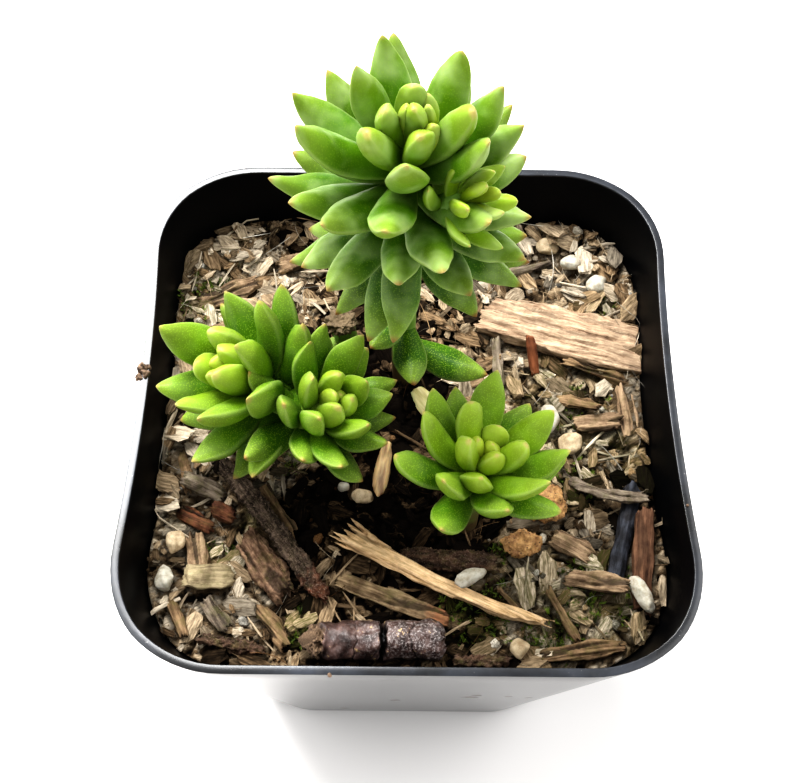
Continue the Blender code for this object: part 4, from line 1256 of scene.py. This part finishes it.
# The tall shoot. A green stem with one dense spiral of thick, water-filled leaves round its end,
# and a small side bud. A leaf is domed, blunt with a tiny brown point, and finely grained.
LEAF_WIDTHS = {
    "grown": (
        (0, 0.5), (0.15, 0.7), (0.32, 0.9), (0.5, 1.0), (0.62, 0.97), (0.74, 0.83), (0.85, 0.58),
        (0.93, 0.34), (0.97, 0.18), (0.99, 0.08), (1, 0),
    ),
    "young": ((0, 0.6), (0.2, 0.84), (0.45, 1.0), (0.7, 0.98), (0.84, 0.84), (0.93, 0.58), (0.975, 0.34), (1, 0)),
}
LEAF_DEPTHS = {
    "grown": (
        (0, 0.75), (0.15, 0.9), (0.35, 1.0), (0.55, 0.98), (0.7, 0.9), (0.82, 0.72), (0.91, 0.47),
        (0.965, 0.25), (0.99, 0.1), (1, 0),
    ),
    "young": ((0, 0.7), (0.25, 0.92), (0.5, 1.0), (0.72, 0.95), (0.86, 0.76), (0.94, 0.5), (0.98, 0.28), (1, 0)),
}
LEAF_EDGE = 2.1
LEAF_RINGS = 22
LEAF_SIDES = 20
LEAF_THICKNESS = {"grown": 0.58, "young": 0.8}
LEAF_SAG = 0.09
LEAF_TOP = 0.5
LEAF_ROOT = 0.8
YOUNG_WIDTH = 0.62
YOUNG_SHARE = 0.75
UNEVENNESS = 1.6 * MM
UNEVEN_SCALE = 170.0
TURN_VARIES = 9
OPENING_VARIES = 7
LENGTH_VARIES = 0.1
STEM_RADIUS = 1.5
NECK_RADIUS = 1.3
TIP_RADIUS = 0.45
NECK_AT = 0.6
STEM_WAVER = 0.05


def leaf_shape(kind, slenderness):
    """A leaf 1 long, 1 wide and 1 thick, bowed as its slenderness asks, as a loose object."""
    shape = bmesh.new()
    runs, edges = [], []
    rings = []
    for step in range(LEAF_RINGS + 1):
        run = math.sin(step / (LEAF_RINGS + 1) * math.pi / 2) ** 0.9
        wide = np.interp(run, *zip(*LEAF_WIDTHS[kind]))
        deep = np.interp(run, *zip(*LEAF_DEPTHS[kind]))
        sag = -4 * run * (1 - run) * LEAF_SAG * slenderness
        ring = []
        for side in range(LEAF_SIDES):
            turn = 2 * math.pi * side / LEAF_SIDES
            y = math.cos(turn) * wide / 2
            if math.sin(turn) > 0:
                z = LEAF_TOP * deep * (1 - abs(math.cos(turn)) ** LEAF_EDGE) + sag
            else:
                z = (1 - LEAF_TOP) * deep * math.sin(turn) + sag
            ring.append(shape.verts.new((run, y, z)))
            runs.append(run)
            edges.append(abs(math.cos(turn)))
        rings.append(ring)
    join_rings(shape, rings, close_end=False)
    point = shape.verts.new((1, 0, 0))
    last = rings[-1]
    for side in range(LEAF_SIDES):
        shape.faces.new((last[side], last[(side + 1) % LEAF_SIDES], point))
    face_outward(shape)
    leaf = loose_piece("leaf_shape", shape)
    leaf.data.shade_smooth()
    set_attribute(leaf.data, "run", runs + [1])
    set_attribute(leaf.data, "edge", edges + [0])
    return leaf


def leafing_tree():
    """The node tree that sets a leaf at each point, turned and sized as the point says."""
    inputs = {"Places": "Geometry", "Leaf": "Object", "Unevenness": "Float", "Material": "Material"}
    tree, given = new_tree("Geometry", "leafing", inputs, {"Made": "Geometry"})
    leaf = put(tree, "GeometryNodeObjectInfo", {"Object": given["Leaf"], "As Instance": True}).outputs["Geometry"]
    facing, size = (named(tree, name, "FLOAT_VECTOR") for name in ("facing", "size"))
    whole = realized(tree, set_on(tree, given["Places"], leaf, facing, size))
    inputs = {"Vector": put(tree, "GeometryNodeInputPosition").outputs[0], "Scale": UNEVEN_SCALE, "Detail": 1.0}
    uneven = put(tree, "ShaderNodeTexNoise", inputs).outputs["Color"]
    either_way = put(tree, "ShaderNodeVectorMath", {0: uneven, 1: (0.5,) * 3}, operation="SUBTRACT").outputs[0]
    freedom = times(tree, named(tree, "run"), given["Unevenness"])
    off = put(tree, "ShaderNodeVectorMath", {0: either_way, "Scale": freedom}, operation="SCALE").outputs[0]
    bent = put(tree, "GeometryNodeSetPosition", {"Geometry": whole, "Offset": off}).outputs[0]
    return end_tree(tree, bent, given["Material"])


def head_axes(lean):
    axis = Vector((lean[0], lean[1], 1)).normalized()
    right = Vector((0, 1, 0)).cross(axis).normalized()
    return axis, right, axis.cross(right)


def spiral(tip, lean, leaves, turn, divergence, rise, opening, length, width, young, grown_at, seed, ages):
    """Each leaf of a head as (root, along, face, length, width, age), the youngest first."""
    draw = random.Random(seed)
    axis, right, back = head_axes(lean)
    youngest, oldest, power = opening
    for number in range(leaves):
        grown_share = min(1, number / grown_at)
        heading = turn + divergence * number + draw.uniform(-1, 1) * TURN_VARIES
        angle = between(youngest, oldest, (number / (leaves - 1)) ** power)
        angle += draw.uniform(-1, 1) * OPENING_VARIES * grown_share
        reach = length * between(young, 1, grown_share) * (1 + draw.uniform(-1, 1) * LENGTH_VARIES)
        breadth = width * between(YOUNG_WIDTH, 1, grown_share)
        heading = math.radians(heading)
        angle = math.radians(angle)
        outward = right * math.cos(heading) + back * math.sin(heading)
        root = Vector(tip) - axis * (rise * number) + outward * (LEAF_ROOT * grown_share)
        along = outward * math.sin(angle) + axis * math.cos(angle)
        face = axis * math.sin(angle) - outward * math.cos(angle)
        yield root, along, face, reach, breadth, between(*ages, (number / (leaves - 1)) ** 0.7)


def place_leaves(name, leaves, slenderness, kind="grown"):
    """Sets the leaves with the leafing tree, each bowed alike, and returns them as one mesh piece."""
    mesh = bpy.data.meshes.new(name + "_places")
    mesh.from_pydata([root * MM for root, *_ in leaves], [], [])
    facing = []
    size = []
    for _, along, face, length, width, _ in leaves:
        along = along.normalized()
        across = face.cross(along).normalized()
        upward = along.cross(across)
        facing.append(Matrix((along, across, upward)).transposed().to_euler())
        size.append((length * MM, width * MM, width * LEAF_THICKNESS[kind] * MM))
    set_attribute(mesh, "facing", facing)
    set_attribute(mesh, "size", size)
    set_attribute(mesh, "age", [age for *_, age in leaves])
    host = bpy.data.objects.new(name + "_places", mesh)
    leaf = leaf_shape(kind, slenderness)
    made = grown(name, host, leafing, {"Leaf": leaf, "Unevenness": UNEVENNESS, "Material": green_leaf})
    bpy.data.objects.remove(leaf, do_unlink=True)
    bpy.data.objects.remove(host, do_unlink=True)
    return made


def stem(name, path, radii, sides=18, steps=10):
    """A smooth stem through the points, its radius wavering a little."""
    points = [Vector(point) for point in path]
    line = []
    widths = []
    padded = [points[0]] + points + [points[-1]]
    for index in range(len(points) - 1):
        before, start, end, after = padded[index:index + 4]
        for step in range(steps + (index == len(points) - 2)):
            t = step / steps
            line.append(0.5 * (
                2 * start + (end - before) * t
                + (2 * before - 5 * start + 4 * end - after) * t * t
                + (3 * start - before - 3 * end + after) * t ** 3
            ))
            widths.append(between(radii[index], radii[index + 1], t))
    shape = bmesh.new()
    rings = []
    for index, point in enumerate(line):
        ahead_point = line[min(index + 1, len(line) - 1)]
        along = (ahead_point - line[max(index - 1, 0)]).normalized()
        across = along.cross(Vector((0, 1, 0))).normalized()
        other = along.cross(across)
        ring = []
        for side in range(sides):
            turn = 2 * math.pi * side / sides
            waver = noise.noise(Vector((index * 0.6, math.cos(turn) * 2, math.sin(turn) * 2)))
            radius = widths[index] * (1 + STEM_WAVER * waver)
            ring.append(shape.verts.new((point + (across * math.cos(turn) + other * math.sin(turn)) * radius) * MM))
        rings.append(ring)
    join_rings(shape, rings)
    face_outward(shape)
    return mesh_piece(name, shape, green_stem)


def merged(name, parts):
    """Joins mesh pieces into one and removes them."""
    shape = bmesh.new()
    materials = []
    names = set()
    for part in parts:
        names |= {attribute.name for attribute in part.data.attributes if attribute.data_type == "FLOAT"}
    for part in parts:
        for wanted in names:
            if wanted not in part.data.attributes:
                part.data.attributes.new(wanted, "FLOAT", "POINT")
        start = len(shape.faces)
        shape.from_mesh(part.data)
        shape.faces.ensure_lookup_table()
        material = part.data.materials[part.data.polygons[0].material_index]
        if material not in materials:
            materials.append(material)
        for face in shape.faces[start:]:
            face.material_index = materials.index(material)
        bpy.data.objects.remove(part, do_unlink=True)
    return mesh_piece(name, shape, *materials)


# Leaf colour: yellow-green when young and dark green when old, darker at the root as painted shade, and paler to the
# tip.
# Over it lie a painted pale sheen, strongest on the high leaves, a pale margin, a tan or brown point, and fine bright
# grains.
green_leaf, tree, shader = finish(
    "green_leaf", 0.4, Subsurface_Weight=0.12, Subsurface_Scale=0.0012,
    Subsurface_Radius=(0.6, 1.0, 0.2), Specular_IOR_Level=0.17,
)
place = own_place(tree)
height = put(tree, "ShaderNodeSeparateXYZ", {"Vector": place}).outputs["Z"]
age, run, edge = (attribute(tree, name) for name in ("age", "run", "edge"))
colour = colour_ramp(
    tree, age,
    (0.0, (0.42, 0.49, 0.04)), (0.2, (0.25, 0.37, 0.02)), (0.5, (0.095, 0.21, 0.009)), (1.0, (0.036, 0.105, 0.005)),
)
patch = mapped(tree, noisy(tree, place, 260, 3), 0.3, 0.7, 0.72, 1.25)
colour = mixed(tree, 1.0, colour, patch, "MULTIPLY")
# Painted shade: each leaf is darker towards its root, where the leaves crowd and shade each other.
colour = mixed(tree, mapped(tree, run, 0.55, 0, 0, 0.5), colour, (0.075, 0.17, 0.01))
colour = mixed(tree, mapped(tree, run, 0.6, 1, 0, 0.5), colour, (0.37, 0.45, 0.09))
# Painted sheen: a pale whitish green on the outer part of the leaves, strongest on the highest leaves, where the light
# falls.
cloud = mapped(tree, noisy(tree, place, 330, 2), 0.44, 0.7)
painted_sheen = times(tree, mapped(tree, run, 0.15, 0.7), cloud)
painted_sheen = times(tree, painted_sheen, mapped(tree, height, 0.085, 0.1, 0.1, 0.5))
colour = mixed(tree, painted_sheen, colour, (0.45, 0.56, 0.26))
colour = mixed(tree, mapped(tree, edge, 0.88, 1, 0, 0.28), colour, (0.46, 0.54, 0.22))
grains = put(tree, "ShaderNodeTexVoronoi", {"Vector": place, "Scale": 5200.0}).outputs["Distance"]
graininess = mapped(tree, height, 0.08, 0.1, 0.65, 0.2)
grain = times(tree, mapped(tree, grains, 0.42, 0.15), graininess)
colour = mixed(tree, grain, colour, (0.36, 0.52, 0.06))
burnt_from = reckon(tree, "SUBTRACT", 0.98, times(tree, age, 0.06))
point = mapped(tree, run, burnt_from, 1, interpolation_type="SMOOTHSTEP")
browning = mixed(tree, reckon(tree, "POWER", age, 2.0), (0.46, 0.4, 0.14), (0.19, 0.06, 0.022))
relief = reckon(tree, "SUBTRACT", times(tree, grains, 0.2), noisy(tree, place, 900, 3))
dress(tree, shader, mixed(tree, point, colour, browning), relief, 0.35, 0.00012)

# Stem colour: pale green at the head, brown and corky near the mix.
green_stem, tree, shader = finish("green_stem", 0.55)
place = own_place(tree)
height = put(tree, "ShaderNodeSeparateXYZ", {"Vector": place}).outputs["Z"]
scars = noisy(tree, place, 700, 4)
level = reckon(tree, "ADD", height, times(tree, scars, 0.012))
colour = mixed(tree, mapped(tree, level, 0.079, 0.068), (0.19, 0.33, 0.06), (0.16, 0.11, 0.05))
dress(tree, shader, colour, scars, 0.6, 0.0004)

leafing = leafing_tree()


def head(name, **shape_of_head):
    """One head of leaves, the youngest ones blunt and plump, and the stem's points and radii inside it."""
    leaves = list(spiral(**shape_of_head))
    young = round(shape_of_head["grown_at"] * YOUNG_SHARE)
    slenderness = shape_of_head["length"] / (shape_of_head["width"] * LEAF_THICKNESS["grown"])
    parts = [place_leaves(name + "_young", leaves[:young], slenderness * 0.5, "young")]
    if leaves[young:]:
        parts.append(place_leaves(name + "_grown", leaves[young:], slenderness))
    made = merged(name, parts)
    tip = Vector(shape_of_head["tip"])
    low = tip - head_axes(shape_of_head["lean"])[0] * (shape_of_head["rise"] * shape_of_head["leaves"])
    return made, [low, low.lerp(tip, NECK_AT), tip], [STEM_RADIUS, NECK_RADIUS, TIP_RADIUS]


tall_head, points, radii = head(
    "tall_head",
    tip=(-0.63, 3.43, 111.9), lean=(-0.04, -0.182), leaves=50, turn=19.8, divergence=139.2, rise=0.335,
    opening=(7.6, 122.9, 0.8), length=12.5, width=4.2, young=0.5, grown_at=8.2, seed=263, ages=(0.25, 1.0),
)
tall_heart = head(
    "tall_heart",
    tip=(0.5, 3.9, 112.2), lean=(0.03, -0.12), leaves=5, turn=250, divergence=137.5, rise=0.25,
    opening=(3, 17, 1.0), length=7.2, width=2.7, young=0.75, grown_at=7, seed=4, ages=(0.0, 0.08),
)[0]
foot_points = [(-0.5, 8.0, 51.7), (-0.5, 8.0, 60.7), (-0.5, 7.2, 82)]
tall_stem = stem("tall_stem", foot_points + points, [STEM_RADIUS] * 3 + radii)
bud, points, radii = head(
    "side_bud",
    tip=(4.8, -0.8, 110.0), lean=(0.9, -0.5), leaves=12, turn=40, divergence=137.5, rise=0.3,
    opening=(8, 62, 0.8), length=6.0, width=2.2, young=0.7, grown_at=9, seed=2, ages=(0.06, 0.35),
)
bud_stem = stem("bud_stem", [(-0.6, 4.4, 101.2), (1.2, 2.6, 104.0)] + points, [TIP_RADIUS * 2] * 3 + radii[1:])
LOW_LEAVES = (
    ((-0.3, 7.4, 69.6), (9.9, 2.4, 70.2), 4.5),
    ((-0.4, 7.4, 74), (0.9, -1.8, 75.6), 4.2),
    ((-0.5, 7.3, 78), (-4.4, 1.6, 78.4), 3.8),
)
LOW_SLENDERNESS = 9.5 / (4.2 * LEAF_THICKNESS["grown"])
low_leaves = []
for root, tip, width in LOW_LEAVES:
    along = Vector(tip) - Vector(root)
    low_leaves.append((Vector(root), along, Vector((0, 0, 1)), along.length, width, 0.95))
low = place_leaves("low_leaves", low_leaves, LOW_SLENDERNESS)
tall_sedum = merged("tall_sedum", [tall_stem, bud_stem, tall_head, tall_heart, bud, low])
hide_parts("tall_shoot")
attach(tall_sedum, "root")


# The forked shoot. One stem that was cut above its fork; both arms have grown on and bear a head.
# The cut has dried to a rough callus of brown cork with a hollow middle.
left_head, left_points, left_radii = head(
    "left_head",
    tip=(-18.97, -1.49, 76.46), lean=(-0.66, -0.197), leaves=23, turn=124.3, divergence=136.23, rise=0.26,
    opening=(7, 74, 1.0), length=12.3, width=5.0, young=0.475, grown_at=8, seed=21, ages=(0.02, 0.8),
)
left_foot = [(-7.8, 8.7, 66), (-9.8, 6.4, 69.0), (-11.2, 3.4, 69.8), (-13.6, 0.4, 70.4)]
left_stem = stem("left_stem", left_foot + left_points, [STEM_RADIUS] * 4 + left_radii)
inner_head, inner_points, inner_radii = head(
    "inner_head",
    tip=(-9.6, -5.8, 77.4), lean=(0.5, -0.112), leaves=25, turn=64.3, divergence=138, rise=0.2,
    opening=(4.4, 78, 1.0), length=9.8, width=3.9, young=0.4, grown_at=6.5, seed=1020, ages=(0.04, 0.9),
)
inner_foot = [(-11.0, 3.2, 69.6), (-12.0, -0.6, 69.0), (-11.6, -4.4, 70.4)]
inner_stem = stem("inner_stem", inner_foot + inner_points, [STEM_RADIUS] * 3 + inner_radii)
cut_path = [(-7.6, 9.2, 51.7), (-7.6, 9.2, 60.7), (-7.8, 8.2, 68), (-8.1, 7.0, 74.5)]
cut_stem = stem("cut_stem", cut_path, [STEM_RADIUS] * 4)
forked_sedum = merged("forked_sedum", [cut_stem, left_stem, inner_stem, left_head, inner_head])
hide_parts("forked_shoot")
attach(forked_sedum, "root")

callus_cork, tree, shader = finish("callus_cork", 0.9)
cork = noisy(tree, own_place(tree), 1700, 5, 0.7)
dress(tree, shader, mixed(tree, cork, (0.02, 0.012, 0.008), (0.3, 0.22, 0.13)), cork, 0.8, 0.0003)
CALLUS_RADIUS = 1.75 * MM
CALLUS_RUGGED = 0.4
CALLUS_SCALE = 1900
CALLUS_FLAT = 0.55
CALLUS_HOLLOW = 0.45 * MM
CUT_PLACE = Vector((-8.3, 7.3, 74.6))
shape = bmesh.new()
bmesh.ops.create_icosphere(shape, subdivisions=5, radius=CALLUS_RADIUS)
for vertex in shape.verts:
    share = math.hypot(vertex.co.x, vertex.co.y) / CALLUS_RADIUS
    sunk = CALLUS_HOLLOW * (1 - ramped(share, 0.3, 0.75)) if vertex.co.z > 0 else 0
    rugged = 1 + CALLUS_RUGGED * noise.fractal(vertex.co * CALLUS_SCALE, 1, 2, 4)
    vertex.co = Vector((vertex.co.x * rugged, vertex.co.y * rugged, vertex.co.z * CALLUS_FLAT * rugged - sunk))
    vertex.co += CUT_PLACE * MM
callus = mesh_piece("cut_callus", shape, callus_cork)
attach(callus, "root")


# The small shoot. A short stem near the front with one open rosette of the same thick leaves.
# It stands rooted in the mix, and its youngest leaves are short and yellow-green.
small_head, points, radii = head(
    "small_head",
    tip=(8.24, -13.21, 78.73), lean=(0.207, 0.189), leaves=22, turn=16.4, divergence=137.12, rise=0.2,
    opening=(11.5, 71, 0.9), length=10.8, width=4.2, young=0.33, grown_at=9, seed=972, ages=(0.0, 0.6),
)
small_foot = [(7.6, -13.2, 51.7), (7.6, -13.2, 60.7)]
small_stem = stem("small_stem", small_foot + points, [STEM_RADIUS] * 2 + radii)
small_sedum = merged("small_sedum", [small_stem, small_head])
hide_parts("small_shoot")
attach(small_sedum, "root")


# The old leaves. Two leaves that have withered below the live ones and come to lie on the mix:
# one is still plump and pale yellow, the other is shrunk, tan and thin.
def old_leaf_material(name, pale, dark, roughness, clear):
    made, tree, shader = finish(name, roughness, Subsurface_Weight=clear, Subsurface_Scale=0.001)
    veins = noisy(tree, scaled(tree, attribute(tree, "grain", "Vector"), 0.3, 1.6, 1.6), 1, 4)
    dress(tree, shader, mixed(tree, mapped(tree, veins, 0.35, 0.65), dark, pale), veins, 0.5, 0.0002)
    return made


OLD_LEAF_CELL = 0.16 * MM
for name, material in (
    ("yellow_old_leaf", old_leaf_material("yellowed_leaf", (0.72, 0.66, 0.36), (0.45, 0.4, 0.16), 0.5, 0.2)),
    ("tan_old_leaf", old_leaf_material("dried_leaf", (0.55, 0.4, 0.2), (0.2, 0.12, 0.06), 0.6, 0.3)),
):
    old_leaf = fine_copy(name, OLD_LEAF_CELL)
    carve(old_leaf, 3, 0.8, 0.1, 0.12, 0.0)
    cover(old_leaf, material)
    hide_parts(name)
    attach(old_leaf, "root")


# The moss. Small tufts of bright green blades in the damp places of the mix.
# It came up by itself, and each tuft is a few thin blades that bend outward.
living_moss, tree, shader = finish("living_moss", 0.7)
dress(tree, shader, mixed(tree, attribute(tree, "tone"), (0.045, 0.07, 0.01), (0.22, 0.3, 0.045)))
TUFT_KINDS = 4
BLADES = 9
tufts = []
for seed in range(TUFT_KINDS):
    draw = random.Random(seed)
    shape = bmesh.new()
    for blade in range(BLADES):
        turn = draw.uniform(0, 2 * math.pi)
        lean = draw.uniform(0.1, 0.75)
        tall = draw.uniform(0.5, 1.0)
        out = Vector((math.cos(turn), math.sin(turn), 0))
        side = Vector((-out.y, out.x, 0)) * 0.07
        base = out * draw.uniform(0, 0.18)
        middle = base + (out * lean * 0.5 + Vector((0, 0, 0.6))) * tall
        top = base + (out * lean + Vector((0, 0, 1))) * tall
        thick = out * 0.05
        low_ring = [shape.verts.new(base + step) for step in (side, thick, -side)]
        mid_ring = [shape.verts.new(middle + step) for step in (side * 1.1, thick, -side * 1.1)]
        end = shape.verts.new(top)
        for index in range(3):
            after = (index + 1) % 3
            shape.faces.new((low_ring[index], low_ring[after], mid_ring[after], mid_ring[index]))
            shape.faces.new((mid_ring[index], mid_ring[after], end))
        shape.faces.new(list(reversed(low_ring)))
    face_outward(shape)
    tufts.append(loose_piece(f"tuft_{seed}", shape))
moss_tufts = strew("moss_tufts", tufts, "moss", 3.2e6, 0.35, 1.0, 0.6, 0.5, 3, living_moss)
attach(moss_tufts, "root")
